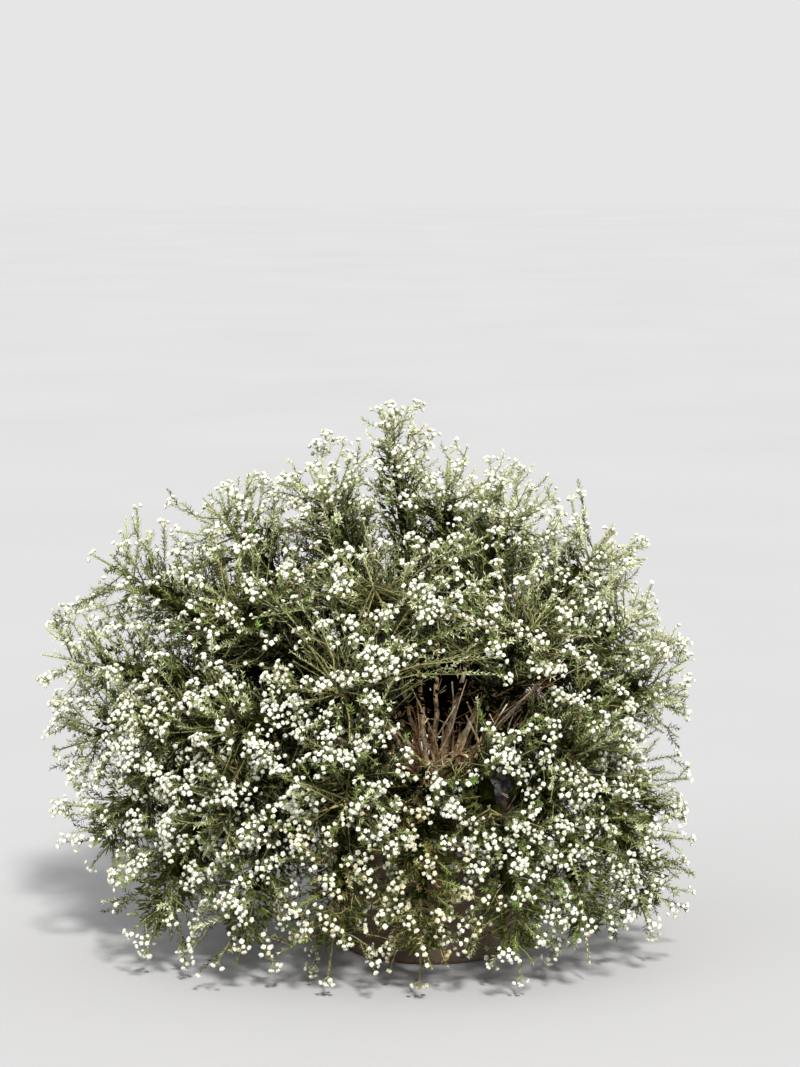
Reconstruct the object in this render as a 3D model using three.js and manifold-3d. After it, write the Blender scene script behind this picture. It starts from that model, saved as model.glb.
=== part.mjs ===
// A flowering Phylica ericoides shrub kept as a bonsai in a plain round clay pot.
// Units are millimetres and +Z is up. The origin is the middle of the pot's flat underside,
// +X is the viewer's right and -Y faces the viewer, where the crown has its open hollow.
import * as THREE from "three";
import { mergeVertices } from "three/addons/utils/BufferGeometryUtils.js";
import Module from "manifold-3d";

const wasm = await Module();
wasm.setup();

// Driving dimensions
const POT_HEIGHT = 160;
const POT_RIM_RADIUS = 122;
const POT_BODY_RADIUS = 114;
const POT_FOOT_RADIUS = 88;
const POT_CHAMFER = 3;
const POT_LIP_HEIGHT = 16;
const POT_WALL = 9;
const POT_FLOOR = 13;
const POT_SIDES = 24;
const DRAIN_HOLES = 3;
const DRAIN_HOLE_RADIUS = 8;
const DRAIN_HOLE_REACH = 36;
const SCREEN_RADIUS = 50;
const SCREEN_THICKNESS = 1.6;
const SCREEN_SLOT_RADIUS = 2.6;
const SOIL_LEVEL = 147;
const SOIL_MOUND = 5;
const SOIL_EDGE = 3;
const TOUCH_GAP = 0.3;
const SLIVER_SIZE = 0.05;

const STOOL_RADIUS = 25;
const STOOL_HEIGHT = 32;
const STOOL_DEPTH = 62;
const TAPROOT_RADIUS = 8;
const STOOL_SIDES = 10;
const STOOL_SHOULDER = 12;
const STEM_RADIUS = 3.4;
const STEM_END_RADIUS = 1.9;
const STEM_ROOT = 9;
const STEM_SHARE = 0.44;
const ARCH_HEIGHT = 262;
const STOOL_EDGE = 8;
const DEAD_TWIGS = 12;
const DEAD_TWIG_FAN = 2.2;
const DEAD_TWIG_SEED = 71;
const DEAD_TWIG_REACH = [34, 74];
const DEAD_TWIG_RISE = [80, 124];
const DEAD_TWIG_RADII = [1.9, 1.5, 0.9];

const CROWN_CENTRE = new THREE.Vector3(-58, 0, 221);
const CROWN_RADII = new THREE.Vector3(262, 226, 238);
const CROWN_LOWEST = -0.86;
const CROWN_CANDIDATES = 900;
const SKIRT_FULLNESS = 3;
const SKIRT_ROOM = 50;
const SPRAY_COUNT = 46;
const SPRAY_SEED = 700;
const CORE_RADIUS = 31;
const CORE_SIDES = 6;
const CORE_STEPS = [0.2, 0.42, 0.66, 0.9];
const CORE_UNEVENNESS = 0.12;
const TERMINAL_SHARE = 0.7;
const SHOOTS_PER_SPRAY = 13;
const SHOOT_REACH = 38;
const SHOOT_RADIUS = 1.1;
const HEAD_RADIUS = 6;
const BASE_SHARE = 0.42;
const UPWARD_PULL = 0.2;
const NEEDLES_PER_SPRAY = 3;
const NEEDLE_LENGTH = 8;
const NEEDLE_RADIUS = 0.8;
const LEAFY_TIPS_PER_SPRAY = 24;
const LEAFY_TIP_LENGTH = 27;
const CLEARANCE = 1;
const LOWEST_FOLIAGE = 3;
const POT_ROOM = 2;

// How far forward a growth leans and how much of its length it keeps, tried in this order
const GROWTH_TRIALS = [
  [0.7, 1],
  [0.3, 1],
  [0.7, 0.75],
  [0.3, 0.7],
  [0, 0.9],
  [0.5, 0.5],
  [0, 0.6],
  [0, 0.4],
];

// Loose stones on the soil: where each one's middle is, its half sizes and its seed
const STONES = [
  { name: "stone_large", centre: [58, -40, 155], size: [28, 24, 21], seed: 5 },
  { name: "stone_small", centre: [-8, -78, 152], size: [19, 16, 14], seed: 9 },
];

// The open hollow in the crown, seen from the front and a little to the right
const HOLLOW_MOUTH = new THREE.Vector3(24, -216, 246);
const HOLLOW_HEART = new THREE.Vector3(2, -40, 205);
const HOLLOW_RADIUS = 46;
const HOLLOW_SHARE = 0.95;

// Tips of the sprays that draw the crown's outline: x, y, z and how wide the spray is
const OUTLINE_TIPS = [
  [-40, -15, 526, 0.5],
  [-120, 0, 470, 0.9],
  [-222, 15, 436, 0.9],
  [-325, -10, 382, 0.9],
  [-376, -20, 287, 0.8],
  [-364, 8, 186, 0.9],
  [-326, -50, 84, 0.9],
  [-268, -125, 20, 0.85],
  [-182, -176, 16, 0.85],
  [-96, -196, 14, 0.85],
  [-12, -204, 12, 0.85],
  [80, -198, 14, 0.85],
  [146, -156, 18, 0.85],
  [208, -92, 26, 0.85],
  [218, 4, 86, 0.9],
  [180, 66, 166, 0.8],
  [248, 6, 250, 0.85],
  [214, 4, 336, 0.9],
  [178, 12, 404, 0.9],
  [84, -4, 448, 0.95],
  [16, 22, 472, 1.0],
];

// Seeded random draws, so that every build gives the same plant
function seededRandom(seed) {
  let state = seed >>> 0;
  return () => {
    state = (state + 0x6d2b79f5) >>> 0;
    let t = state;
    t = Math.imul(t ^ (t >>> 15), t | 1);
    t ^= t + Math.imul(t ^ (t >>> 7), t | 61);
    return ((t ^ (t >>> 14)) >>> 0) / 4294967296;
  };
}

const GOLDEN_ANGLE = Math.PI * (3 - Math.sqrt(5));
const UP = new THREE.Vector3(0, 0, 1);

function vec(x, y, z) {
  return new THREE.Vector3(x, y, z);
}

// Solids
function solidFrom(geometry) {
  const bare = geometry.clone();
  bare.deleteAttribute("normal");
  bare.deleteAttribute("uv");
  const merged = mergeVertices(bare, 1e-4);
  return new wasm.Manifold(
    new wasm.Mesh({
      numProp: 3,
      vertProperties: new Float32Array(merged.attributes.position.array),
      triVerts: new Uint32Array(merged.index.array),
    }),
  );
}

function geometryFrom(solid) {
  const mesh = solid.getMesh();
  const geometry = new THREE.BufferGeometry();
  geometry.setAttribute("position", new THREE.BufferAttribute(mesh.vertProperties, 3));
  geometry.setIndex(new THREE.BufferAttribute(mesh.triVerts, 1));
  geometry.computeVertexNormals();
  return geometry;
}

function fuse(solids) {
  return wasm.Manifold.union(solids).simplify(SLIVER_SIZE);
}

// Rings of points joined into one closed skin. A ring of one point is a tip.
function skinRings(rings) {
  const positions = rings.flat().flatMap((p) => [p.x, p.y, p.z]);
  const starts = rings.map((_, i) => rings.slice(0, i).reduce((sum, r) => sum + r.length, 0));
  const index = [];
  for (let i = 0; i + 1 < rings.length; i++) {
    const [lower, upper] = [rings[i].length, rings[i + 1].length];
    const sides = Math.max(lower, upper);
    for (let k = 0; k < sides; k++) {
      const next = (k + 1) % sides;
      const a = starts[i] + (lower === 1 ? 0 : k);
      const b = starts[i] + (lower === 1 ? 0 : next);
      const c = starts[i + 1] + (upper === 1 ? 0 : k);
      const d = starts[i + 1] + (upper === 1 ? 0 : next);
      if (lower > 1) index.push(a, b, c);
      if (upper > 1) index.push(b, d, c);
    }
  }
  const last = rings.length - 1;
  for (let k = 1; k + 1 < rings[0].length; k++) index.push(starts[0], starts[0] + k + 1, starts[0] + k);
  for (let k = 1; k + 1 < rings[last].length; k++) {
    index.push(starts[last], starts[last] + k, starts[last] + k + 1);
  }
  const geometry = new THREE.BufferGeometry();
  geometry.setAttribute("position", new THREE.Float32BufferAttribute(positions, 3));
  geometry.setIndex(index);
  return geometry;
}

// Two directions square to the given one
function crossAxes(direction) {
  const helper = Math.abs(direction.z) < 0.9 ? UP : vec(1, 0, 0);
  const side = new THREE.Vector3().crossVectors(helper, direction).normalize();
  return [side, new THREE.Vector3().crossVectors(direction, side).normalize()];
}

function ring(centre, axes, radius, sides, turn = 0, share = () => 1) {
  return Array.from({ length: sides }, (_, k) => {
    const angle = turn + (2 * Math.PI * k) / sides;
    const reach = radius * share(k);
    return centre
      .clone()
      .addScaledVector(axes[0], reach * Math.cos(angle))
      .addScaledVector(axes[1], reach * Math.sin(angle));
  });
}

// Cross axes at each of the given directions, carried along without a twist
function carriedAxes(directions) {
  let side = crossAxes(directions[0])[0];
  return directions.map((along) => {
    side = side.clone().addScaledVector(along, -side.dot(along)).normalize();
    return [side, new THREE.Vector3().crossVectors(along, side)];
  });
}

// A tapered rod along a list of points, with flat ends square to the directions given there
function rod(points, directions, radii, sides) {
  const axes = carriedAxes(directions);
  return solidFrom(skinRings(points.map((point, i) => ring(point, axes[i], radii[i], sides))));
}

function turned(profile, sides) {
  return solidFrom(new THREE.LatheGeometry(profile.map(([r, z]) => new THREE.Vector2(r, z)), sides)
    .rotateX(Math.PI / 2));
}

function plug(x, y, radius, low, high, sides) {
  return solidFrom(new THREE.CylinderGeometry(radius, radius, high - low, sides)
    .rotateX(Math.PI / 2)
    .translate(x, y, (low + high) / 2));
}

// Pot, drain screen and soil
const LIP_FOOT = POT_HEIGHT - POT_LIP_HEIGHT;

function potInsideRadius(z) {
  const foot = THREE.MathUtils.lerp(POT_FOOT_RADIUS, POT_BODY_RADIUS, POT_FLOOR / LIP_FOOT) - POT_WALL;
  const share = Math.min(1, (z - POT_FLOOR) / (LIP_FOOT - POT_FLOOR));
  return THREE.MathUtils.lerp(foot, POT_BODY_RADIUS + 2 - POT_WALL, share);
}

function drainPlaces() {
  return Array.from({ length: DRAIN_HOLES }, (_, k) => {
    const angle = Math.PI / 2 + (2 * Math.PI * k) / DRAIN_HOLES;
    return [DRAIN_HOLE_REACH * Math.cos(angle), DRAIN_HOLE_REACH * Math.sin(angle)];
  });
}

function makePot() {
  const body = turned([
    [0, 0],
    [POT_FOOT_RADIUS - POT_CHAMFER, 0],
    [POT_FOOT_RADIUS, POT_CHAMFER],
    [POT_BODY_RADIUS, LIP_FOOT - POT_CHAMFER],
    [POT_RIM_RADIUS, LIP_FOOT],
    [POT_RIM_RADIUS + 1, POT_HEIGHT - POT_CHAMFER],
    [POT_RIM_RADIUS - POT_CHAMFER, POT_HEIGHT],
    [potInsideRadius(LIP_FOOT) + 1, POT_HEIGHT],
    [potInsideRadius(LIP_FOOT), LIP_FOOT],
    [potInsideRadius(POT_FLOOR), POT_FLOOR],
    [0, POT_FLOOR],
  ], POT_SIDES);
  const holes = drainPlaces().map(([x, y]) => plug(x, y, DRAIN_HOLE_RADIUS, -1, POT_FLOOR + 1, 10));
  return body.subtract(fuse(holes));
}

function makeDrainScreen() {
  const low = POT_FLOOR + TOUCH_GAP;
  const disc = plug(0, 0, SCREEN_RADIUS, low, low + SCREEN_THICKNESS, 12);
  const slots = drainPlaces().flatMap(([x, y]) => [-1.7, 1.7].map((shift) =>
    plug(x + shift * SCREEN_SLOT_RADIUS, y, SCREEN_SLOT_RADIUS, low - 1, low + SCREEN_THICKNESS + 1, 4)));
  return disc.subtract(fuse(slots));
}

function makeSoil() {
  const low = POT_FLOOR + 2 * TOUCH_GAP + SCREEN_THICKNESS;
  const reachAt = (z) => potInsideRadius(z) - 2 * TOUCH_GAP;
  const edge = SOIL_LEVEL - SOIL_EDGE;
  const soil = turned([
    [0, low],
    [reachAt(low), low],
    [reachAt(edge), edge],
    [reachAt(edge) - SOIL_EDGE, SOIL_LEVEL],
    [STOOL_RADIUS + 18, SOIL_LEVEL],
    [STOOL_RADIUS + 2, SOIL_LEVEL + SOIL_MOUND],
    [0, SOIL_LEVEL + SOIL_MOUND],
  ], POT_SIDES);
  const socket = turned([
    [0, SOIL_LEVEL - STOOL_DEPTH - TOUCH_GAP],
    [TAPROOT_RADIUS + 2 * TOUCH_GAP, SOIL_LEVEL - STOOL_DEPTH - TOUCH_GAP],
    [STOOL_RADIUS + 3 * TOUCH_GAP, SOIL_LEVEL - STOOL_SHOULDER],
    [STOOL_RADIUS + 3 * TOUCH_GAP, SOIL_LEVEL + STOOL_HEIGHT],
    [0, SOIL_LEVEL + STOOL_HEIGHT],
  ], STOOL_SIDES);
  return soil.subtract(socket);
}

// A rough stone that lies on the soil with a flat underside
function makeStone(centre, size, seed) {
  const random = seededRandom(seed);
  const geometry = new THREE.IcosahedronGeometry(1, 1);
  geometry.deleteAttribute("normal");
  geometry.deleteAttribute("uv");
  const stone = mergeVertices(geometry, 1e-4);
  const corners = stone.attributes.position;
  for (let i = 0; i < corners.count; i++) {
    const p = new THREE.Vector3().fromBufferAttribute(corners, i);
    p.multiplyScalar(0.82 + 0.3 * random()).multiply(size).add(centre);
    corners.setXYZ(i, p.x, p.y, p.z);
  }
  const depth = 4 * size.x;
  const ground = new THREE.BoxGeometry(4 * size.x, 4 * size.x, depth)
    .translate(centre.x, centre.y, SOIL_LEVEL + TOUCH_GAP - depth / 2);
  return solidFrom(stone).subtract(solidFrom(ground));
}

// Where each branch runs: up from the stool, over in an arch and out to its tip
function branchCurve(tip) {
  const outward = vec(tip.x, tip.y, 0);
  const heading = outward.clone().normalize();
  const spread = Math.min(1, outward.length() / 160);
  const foot = heading.clone().multiplyScalar((STOOL_RADIUS - 7) * spread);
  foot.z = SOIL_LEVEL + STOOL_HEIGHT - 8 - 8 * spread;
  const drop = THREE.MathUtils.clamp((ARCH_HEIGHT - tip.z) / ARCH_HEIGHT, 0, 1);
  const share = 0.5 + 0.3 * drop;
  const arch = vec(tip.x * share, tip.y * share, Math.max(ARCH_HEIGHT, (tip.z + foot.z) / 2 + 20));
  return new THREE.QuadraticBezierCurve3(foot, arch, tip);
}

// The outline tips first, then the crown's surface filled evenly, always at the widest gap left
function crownTips() {
  const chosen = OUTLINE_TIPS.map(([x, y, z, width]) => ({ tip: vec(x, y, z), width }));
  const candidates = [];
  for (let i = 0; i < CROWN_CANDIDATES; i++) {
    const height = 1 - ((1 - CROWN_LOWEST) * (i + 0.5)) / CROWN_CANDIDATES;
    const fullness = height < 0 ? SKIRT_FULLNESS : 2;
    const across = Math.pow(1 - Math.pow(Math.abs(height), fullness), 1 / fullness);
    const turn = i * GOLDEN_ANGLE;
    const tip = vec(across * Math.cos(turn), across * Math.sin(turn), height)
      .multiply(CROWN_RADII)
      .add(CROWN_CENTRE);
    if (tip.z > POT_HEIGHT || Math.hypot(tip.x, tip.y) > POT_RIM_RADIUS + SKIRT_ROOM) candidates.push(tip);
  }
  const gapAt = (p) => Math.min(
    HOLLOW_SHARE * HOLLOW_MOUTH.distanceTo(p),
    ...chosen.map(({ tip }) => tip.distanceTo(p)),
  );
  while (chosen.length < SPRAY_COUNT) {
    const gaps = candidates.map(gapAt);
    chosen.push({ tip: candidates[gaps.indexOf(Math.max(...gaps))], width: 1 });
  }
  return chosen;
}

// Everything that is already placed, as capsules, so that no two pieces cross
const placed = [];

function segmentGap(a, b, c, d) {
  const [u, v, w] = [b.clone().sub(a), d.clone().sub(c), a.clone().sub(c)];
  const [uu, uv, vv, uw, vw] = [u.dot(u), u.dot(v), v.dot(v), u.dot(w), v.dot(w)];
  const bottom = uu * vv - uv * uv;
  let s = bottom > 1e-9 ? THREE.MathUtils.clamp((uv * vw - vv * uw) / bottom, 0, 1) : 0;
  let t = vv > 1e-9 ? (uv * s + vw) / vv : 0;
  if (t < 0 || t > 1) {
    t = THREE.MathUtils.clamp(t, 0, 1);
    s = uu > 1e-9 ? THREE.MathUtils.clamp((uv * t - uw) / uu, 0, 1) : 0;
  }
  return w.addScaledVector(u, s).addScaledVector(v, -t).length();
}

function place(node, a, b, radius, carries = node) {
  placed.push({ node, a, b, radius, carries });
}

// How far a point is from the pot's outside or from the air right above its rim
function potGap(p) {
  const outside = Math.hypot(p.x, p.y) - POT_RIM_RADIUS - POT_ROOM;
  return p.z < POT_HEIGHT ? outside : Math.hypot(Math.max(0, outside), p.z - POT_HEIGHT);
}

// Whether a capsule stands clear of the surface below, the pot, the hollow and every other piece
function hasRoom(node, a, b, radius) {
  const room = radius + CLEARANCE;
  if (Math.min(a.z, b.z) < room + LOWEST_FOLIAGE) return false;
  if ([0, 0.25, 0.5, 0.75, 1].some((t) => potGap(a.clone().lerp(b, t)) < room)) return false;
  if (segmentGap(a, b, HOLLOW_HEART, HOLLOW_MOUTH) < room + HOLLOW_RADIUS) return false;
  return !placed.some((other) => other.node !== node && other.carries !== node
    && segmentGap(a, b, other.a, other.b) < room + other.radius);
}

// Three points along each dead twig, fanned out towards the viewer
function deadTwigs() {
  const random = seededRandom(DEAD_TWIG_SEED);
  const within = ([least, most]) => THREE.MathUtils.lerp(least, most, random());
  return Array.from({ length: DEAD_TWIGS }, (_, k) => {
    const angle = -Math.PI / 2 + DEAD_TWIG_FAN * ((k + random()) / DEAD_TWIGS - 0.5);
    const heading = vec(Math.cos(angle), Math.sin(angle), 0);
    const [reach, rise] = [within(DEAD_TWIG_REACH), within(DEAD_TWIG_RISE)];
    return [[10, 14], [0.6 * reach, 0.55 * rise], [reach, rise]]
      .map(([out, up]) => heading.clone().multiplyScalar(out).setZ(SOIL_LEVEL + up));
  });
}

// The woody stool with one stem for each spray, and the dead twigs in the hollow
function makeStems(branches) {
  const stool = turned([
    [0, SOIL_LEVEL - STOOL_DEPTH],
    [TAPROOT_RADIUS, SOIL_LEVEL - STOOL_DEPTH],
    [STOOL_RADIUS - 1, SOIL_LEVEL - STOOL_SHOULDER],
    [STOOL_RADIUS, SOIL_LEVEL + STOOL_EDGE],
    [STOOL_RADIUS - 4, SOIL_LEVEL + STOOL_HEIGHT - STOOL_EDGE],
    [0, SOIL_LEVEL + STOOL_HEIGHT],
  ], STOOL_SIDES);
  const stoolTop = vec(0, 0, SOIL_LEVEL + STOOL_HEIGHT - STOOL_EDGE);
  place("woody_stems", vec(0, 0, SOIL_LEVEL), stoolTop, STOOL_RADIUS);
  const parts = [stool];
  for (const { curve, name } of branches) {
    const steps = [0, 0.45, 1];
    const points = steps.map((t) => curve.getPoint(t * STEM_SHARE));
    const directions = steps.map((t) => curve.getTangent(t * STEM_SHARE));
    points.unshift(points[0].clone().addScaledVector(directions[0], -STEM_ROOT));
    directions.unshift(directions[0]);
    const radii = [0, ...steps].map((t) => THREE.MathUtils.lerp(STEM_RADIUS, STEM_END_RADIUS, t));
    parts.push(rod(points, directions, radii, 3));
    for (let i = 1; i < points.length; i++) {
      const carries = i === points.length - 1 ? name : "woody_stems";
      place("woody_stems", points[i - 1], points[i], radii[i - 1], carries);
    }
  }
  for (const points of deadTwigs()) {
    const rising = points[2].clone().sub(points[0]).normalize();
    parts.push(rod(points, [rising, rising, rising], DEAD_TWIG_RADII, 3));
    place("woody_stems", points[1], points[2], DEAD_TWIG_RADII[0]);
  }
  return fuse(parts);
}

// One spray: a slim core along the branch's end. Its facets are drawn out into shoots that end in a
// round flower head, into needle leaves at their true size, and into leafy tips. This is the core's
// radius along the spray, as a share of its widest.
function coreShare(u) {
  return u < 0.6 ? 0.06 + 0.94 * Math.pow(Math.sin((Math.PI / 2) * (u / 0.6)), 1.3)
    : Math.sqrt(Math.max(0, 1 - Math.pow((u - 0.6) / 0.42, 2.6)));
}

function planSpray(branch, random) {
  const { curve, name, width } = branch;
  const length = curve.getPoint(STEM_SHARE).distanceTo(branch.tip);
  const reach = SHOOT_REACH * (0.45 + 0.55 * width);
  const shareAt = (u) => STEM_SHARE + (1 - STEM_SHARE) * u * (1 - (TERMINAL_SHARE * reach) / length);
  return {
    name,
    width,
    reach,
    random,
    tip: branch.tip,
    at: (u) => curve.getPoint(shareAt(u)),
    along: (u) => curve.getTangent(shareAt(u)),
  };
}

function coreCapsules(spray) {
  const steps = [0, ...CORE_STEPS, 1];
  return steps.slice(1).map((u, i) => {
    const radius = CORE_RADIUS * spray.width * Math.max(coreShare(steps[i]), coreShare(u));
    return [spray.at(steps[i]), spray.at(u), radius];
  });
}

// A core is made slimmer where its neighbours leave it too little room
function placeCores(sprays) {
  for (const spray of sprays) {
    spray.coreRadii = coreCapsules(spray).map(([a, b, radius]) => {
      let nearest = Infinity;
      for (const other of sprays) {
        if (other === spray) continue;
        for (const [c, d, otherRadius] of coreCapsules(other)) {
          nearest = Math.min(nearest, (segmentGap(a, b, c, d) * radius) / (radius + otherRadius));
        }
      }
      return Math.min(radius, nearest - CLEARANCE);
    });
  }
  for (const spray of sprays) {
    coreCapsules(spray).forEach(([a, b], i) => {
      const blocked = () => !hasRoom(spray.name, a, b, spray.coreRadii[i]);
      while (spray.coreRadii[i] > STEM_END_RADIUS && blocked()) spray.coreRadii[i] *= 0.94;
      place(spray.name, a, b, spray.coreRadii[i]);
    });
  }
}

function coreRings(spray) {
  const steps = [0, ...CORE_STEPS];
  const axes = carriedAxes(steps.map((u) => spray.along(u)));
  const start = spray.at(0).addScaledVector(spray.along(0), TOUCH_GAP);
  const rings = CORE_STEPS.map((u, i) => {
    const full = CORE_RADIUS * spray.width * coreShare(u);
    const stride = spray.at(u).distanceTo(spray.at(steps[i]));
    const slimmest = Math.min(spray.coreRadii[i], spray.coreRadii[i + 1], full, stride);
    const radius = Math.max(STEM_END_RADIUS, slimmest);
    const turn = ((i + 1) * Math.PI) / CORE_SIDES;
    const uneven = () => 1 - CORE_UNEVENNESS * spray.random();
    return ring(spray.at(u), axes[i + 1], radius, CORE_SIDES, turn, uneven);
  });
  return [ring(start, axes[0], STEM_END_RADIUS, CORE_SIDES), ...rings, [spray.tip]];
}

// A ring of three points ahead of a facet, turned to follow the facet's corners
function facetRing(facet, direction, distance, radius) {
  const third = (2 * Math.PI) / 3;
  const axes = crossAxes(direction);
  const angles = facet.corners.map((corner) => {
    const arm = corner.clone().sub(facet.centre);
    return Math.atan2(arm.dot(axes[1]), arm.dot(axes[0]));
  });
  const around = (angle) => THREE.MathUtils.euclideanModulo(angle, 2 * Math.PI);
  const drift = (k) => around(angles[k] - angles[0]) - k * third;
  const turn = angles[0] + (drift(1) + drift(2)) / 3;
  return ring(facet.centre.clone().addScaledVector(direction, distance), axes, radius, 3, turn);
}

function listFacets(points, index, spray) {
  const facets = [];
  for (let i = 0; i < index.length; i += 3) {
    const corners = [0, 1, 2].map((k) => points[index[i + k]]);
    const centre = corners[0].clone().add(corners[1]).add(corners[2]).divideScalar(3);
    const normal = corners[1].clone().sub(corners[0]).cross(corners[2].clone().sub(corners[0]));
    const area = normal.length() / 2;
    facets.push({ start: i, corners, centre, normal: normal.normalize(), area, order: spray.random() });
  }
  return facets;
}

// Whether a growth's far points lie outside the facets that rise beside its own
function clearsNeighbours(facet, facets, points, margin) {
  const height = (p) => p.clone().sub(facet.centre).dot(facet.normal);
  return facets.every((other) => {
    if (other === facet || other.corners.every((corner) => height(corner) < SLIVER_SIZE)) return true;
    return points.every((p) => p.clone().sub(other.centre).dot(other.normal) > margin
      || p.distanceTo(other.centre) > 2 * Math.sqrt(other.area) + margin);
  });
}

// Whether two growths of one spray come too close above their bases
function crowd(one, other) {
  return segmentGap(one.neck, one.end, other.neck, other.end) < one.radius + other.radius + CLEARANCE
    || segmentGap(one.low, one.neck, other.neck, other.end) < one.spread + other.radius
    || segmentGap(one.neck, one.end, other.low, other.neck) < one.radius + other.spread;
}

// The first trial of a growth from a facet that stands clear of the other pieces and of its own spray
function findGrowth(spray, facet, facets, own, length, radius) {
  const spread = BASE_SHARE * Math.sqrt(facet.area);
  for (const [forward, stretch] of GROWTH_TRIALS) {
    const direction = facet.normal.clone().addScaledVector(spray.along(0.8), forward)
      .addScaledVector(UP, UPWARD_PULL * Math.sign(forward)).normalize();
    const reach = length * stretch * (0.85 + 0.25 * facet.order);
    const pointAt = (t) => facet.centre.clone().addScaledVector(direction, reach * t);
    const [low, neck, end] = [pointAt(0.2), pointAt(0.6), pointAt(1)];
    if (!clearsNeighbours(facet, facets, [neck, end], radius + CLEARANCE)) continue;
    if (!hasRoom(spray.name, low, neck, spread)) continue;
    if (!hasRoom(spray.name, neck, end, radius)) continue;
    const growth = { facet, direction, reach, low, neck, end, radius, spread };
    if (!own.some((other) => crowd(growth, other))) return growth;
  }
  return null;
}

function planGrowths(spray, facets, own, wanted, length, radius) {
  const found = [];
  for (const facet of facets) {
    if (found.length === wanted) break;
    if (own.some((growth) => growth.facet === facet)) continue;
    const growth = findGrowth(spray, facet, facets, own, length, radius);
    if (!growth) continue;
    own.push(growth);
    found.push(growth);
    place(spray.name, growth.low, growth.neck, growth.spread);
    place(spray.name, growth.neck, growth.end, radius);
  }
  return found;
}

// Adds the skin drawn out from a facet: rings of three points, closed by a point at the end
function drawOut(points, index, { facet, direction, reach }, rings) {
  let lower = [0, 1, 2].map((k) => index[facet.start + k]);
  const triangles = [];
  for (const [distance, radius] of rings) {
    const upper = [points.length, points.length + 1, points.length + 2];
    points.push(...facetRing(facet, direction, distance, radius));
    for (let k = 0; k < 3; k++) {
      const next = (k + 1) % 3;
      triangles.push(lower[k], lower[next], upper[next], lower[k], upper[next], upper[k]);
    }
    lower = upper;
  }
  for (let k = 0; k < 3; k++) triangles.push(lower[k], lower[(k + 1) % 3], points.length);
  points.push(facet.centre.clone().addScaledVector(direction, reach));
  index.push(...triangles);
}

// The core's facets that may grow: all but those of the thin start and the flat end
function makeSpray(spray) {
  const rings = coreRings(spray);
  const points = rings.flat();
  const index = Array.from(skinRings(rings).index.array);
  const sideFacets = 2 * CORE_SIDES * CORE_STEPS.length + CORE_SIDES;
  const facets = listFacets(points, index, spray).slice(2 * CORE_SIDES, sideFacets);
  facets.sort((a, b) => b.area * (0.5 + b.order) - a.area * (0.5 + a.order));
  const own = [];
  const heads = Math.round(SHOOTS_PER_SPRAY * spray.width);
  const shoots = planGrowths(spray, facets, own, heads, spray.reach, HEAD_RADIUS);
  const needles = planGrowths(spray, facets, own, NEEDLES_PER_SPRAY, NEEDLE_LENGTH, NEEDLE_RADIUS);
  const tips = planGrowths(spray, facets, own, LEAFY_TIPS_PER_SPRAY, LEAFY_TIP_LENGTH, SHOOT_RADIUS);
  for (const shoot of shoots) {
    const neckRing = [shoot.reach - 1.9 * HEAD_RADIUS, SHOOT_RADIUS];
    const headRing = [shoot.reach - 0.9 * HEAD_RADIUS, 1.05 * HEAD_RADIUS];
    drawOut(points, index, shoot, [neckRing, headRing]);
  }
  for (const needle of needles) drawOut(points, index, needle, [[0.2, NEEDLE_RADIUS]]);
  for (const tip of tips) drawOut(points, index, tip, []);
  const drawn = new Set(own.map(({ facet }) => facet.start));
  const kept = index.filter((_, i) => !drawn.has(i - (i % 3)));
  const geometry = new THREE.BufferGeometry().setFromPoints(points);
  geometry.setIndex(kept);
  return solidFrom(geometry);
}

// Assembly
const bonsai = new THREE.Group();

function addNode(name, solid, look) {
  const mesh = new THREE.Mesh(geometryFrom(solid), new THREE.MeshStandardMaterial(look));
  mesh.name = name;
  bonsai.add(mesh);
}

const CLAY = { color: 0x4a3f38, roughness: 0.8, metalness: 0 };
const PLASTIC = { color: 0x22282a, roughness: 0.6, metalness: 0 };
const EARTH = { color: 0x2e2620, roughness: 1, metalness: 0 };
const ROCK = { color: 0x6d7076, roughness: 0.95, metalness: 0 };
const BARK = { color: 0x8a6a4a, roughness: 0.9, metalness: 0 };
const FOLIAGE = { color: 0x69753f, roughness: 0.85, metalness: 0 };

addNode("pot", makePot(), CLAY);
addNode("drain_screen", makeDrainScreen(), PLASTIC);
addNode("soil", makeSoil(), EARTH);
for (const { name, centre, size, seed } of STONES) {
  addNode(name, makeStone(vec(...centre), vec(...size), seed), ROCK);
}

const branches = crownTips().map(({ tip, width }, i) => {
  const name = `spray_${String(i + 1).padStart(2, "0")}`;
  return { name, tip, width, curve: branchCurve(tip) };
});
addNode("woody_stems", makeStems(branches), BARK);

const sprays = branches.map((branch, i) => planSpray(branch, seededRandom(SPRAY_SEED + i)));
placeCores(sprays);
for (const spray of sprays) addNode(spray.name, makeSpray(spray), FOLIAGE);

export default bonsai;
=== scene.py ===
"""A flowering Phylica ericoides shrub in a round clay pot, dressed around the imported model.

Each CAD spray is replaced by the same spray at full fineness: leafy shoots, twigs and clusters of
flower heads. The pot, soil, stones and woody stems are replaced by finer ones of the same form.
Shapes are worked out in millimetres and become metres when a mesh is made.
"""

import math

import bpy
import numpy as np
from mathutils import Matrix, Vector, noise


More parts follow.
